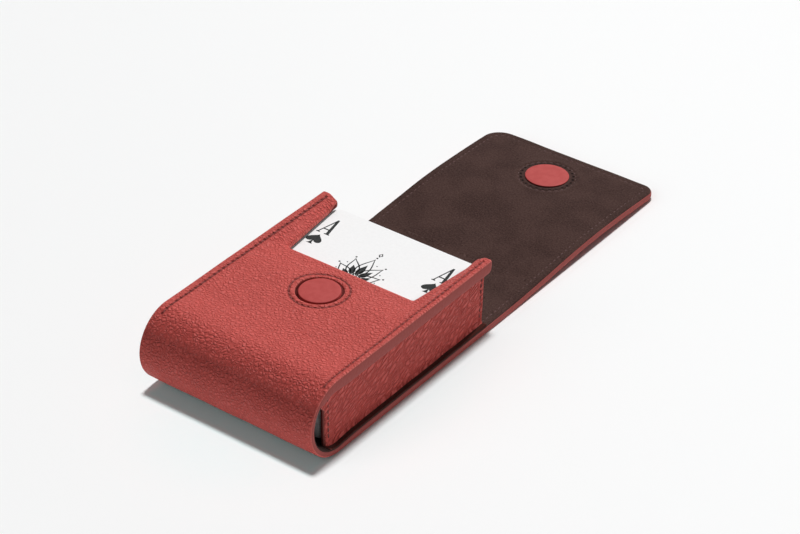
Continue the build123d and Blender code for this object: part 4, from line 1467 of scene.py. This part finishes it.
def bezier(points):
    """Points along a cubic curve, without its last."""
    a, b, c, d = [np.array(p) for p in points]
    shares = [index / CURVE_PARTS for index in range(CURVE_PARTS)]
    return [a * (1 - t) ** 3 + 3 * b * t * (1 - t) ** 2 + 3 * c * t * t * (1 - t) + d * t**3 for t in shares]


def spade(size):
    """A spade's outline, from its right side and the same mirrored."""
    right = [p for part in SPADE_SIDE for p in bezier(part)] + [np.array(SPADE_SIDE[-1][-1])]
    return np.array(right + [p * MIRROR for p in right[:0:-1]]) * size


def petal(length, half_width, inset):
    """A drop that starts at its pivot and ends in a point, brought in by an inset."""
    shares = np.linspace(0, 1, 13)
    widths = (half_width - inset) * np.sin(math.pi * shares**0.75) ** 1.2
    heights = PETAL_START + inset + shares * (length - PETAL_START - 2.6 * inset)
    right = np.stack([widths, heights], axis=1)
    return np.concatenate([right, (right * MIRROR)[-2:0:-1]])


def on_pivot(points, angle):
    """Flat points turned about the origin, clockwise from +Y, and moved to the petals' pivot."""
    across = math.cos(math.radians(angle))
    ahead = math.sin(math.radians(angle))
    x, y = points[:, 0], points[:, 1]
    return np.stack([x * across + y * ahead, y * across - x * ahead], axis=1) + PETAL_PIVOT


def printed_shapes():
    """Outlines with their holes, for the half of the card by the mouth."""
    shapes = []
    for side in (-1, 1):
        shift = np.array([side * INDEX_X, LETTER_FOOT_Y])
        shapes.append([LETTER_OUTLINE + shift, LETTER_COUNTER + shift])
        shapes.append([spade(1.0) + np.array([side * INDEX_X, PIP_Y])])
    for angle, length, half_width in PETALS:
        drop = [petal(length, half_width, inset) for inset in (0.0, PETAL_STROKE)]
        core = petal(length * 0.8, half_width * 0.85, 0.95)
        bead = circle(0, length + 0.75, 0.42, 0.4)[0]
        between = circle(0, length + 0.1, 0.36, 0.4)[0] * 0.8 + np.array([0, 0.1])
        for side in (-1, 1) if angle else (1,):
            turn = side * angle
            shapes += [[on_pivot(p, turn) for p in drop], [on_pivot(core, turn)], [on_pivot(bead, turn)]]
            shapes.append([on_pivot(between, side * (angle + 13.5))])
    top = PETAL_PIVOT + np.array([0, PETALS[0][1] + 2.9])
    shapes.append([DIAMOND + top, DIAMOND * 0.5 + top])
    return shapes


def print_piece(shapes):
    """The ink as one thin raised piece."""
    points = []
    faces = []
    for loops in shapes:
        loops = [set_ccw((loop, np.ones(len(loop), bool))) for loop in loops]
        flat, triangles, rings = triangulate(loops, 40.0)
        base = len(points)
        under = base + len(flat)
        for z in (CARD_TOP_Z + INK_THICKNESS, CARD_TOP_Z - INK_THICKNESS):
            points += [(x, y, z) for x, y in flat]
        faces += (triangles + base).tolist() + (triangles[:, ::-1] + under).tolist()
        for ring in rings:
            faces += wall_band([number + under for number in ring], [number + base for number in ring])
    return new_piece("ace_print", points, faces, points, [card_ink], flat_faces=range(len(faces)))


half_print = printed_shapes()
far_half = [[np.array([0, 2 * CARD_CENTRE_Y]) - loop for loop in loops] for loops in half_print]
centre_spade = [[spade(1.5) + np.array([0, CARD_CENTRE_Y])]]
dress(print_piece(half_print + far_half + centre_spade), "card_stock", [], "top_card")

bpy.context.scene.view_settings.view_transform = "Standard"
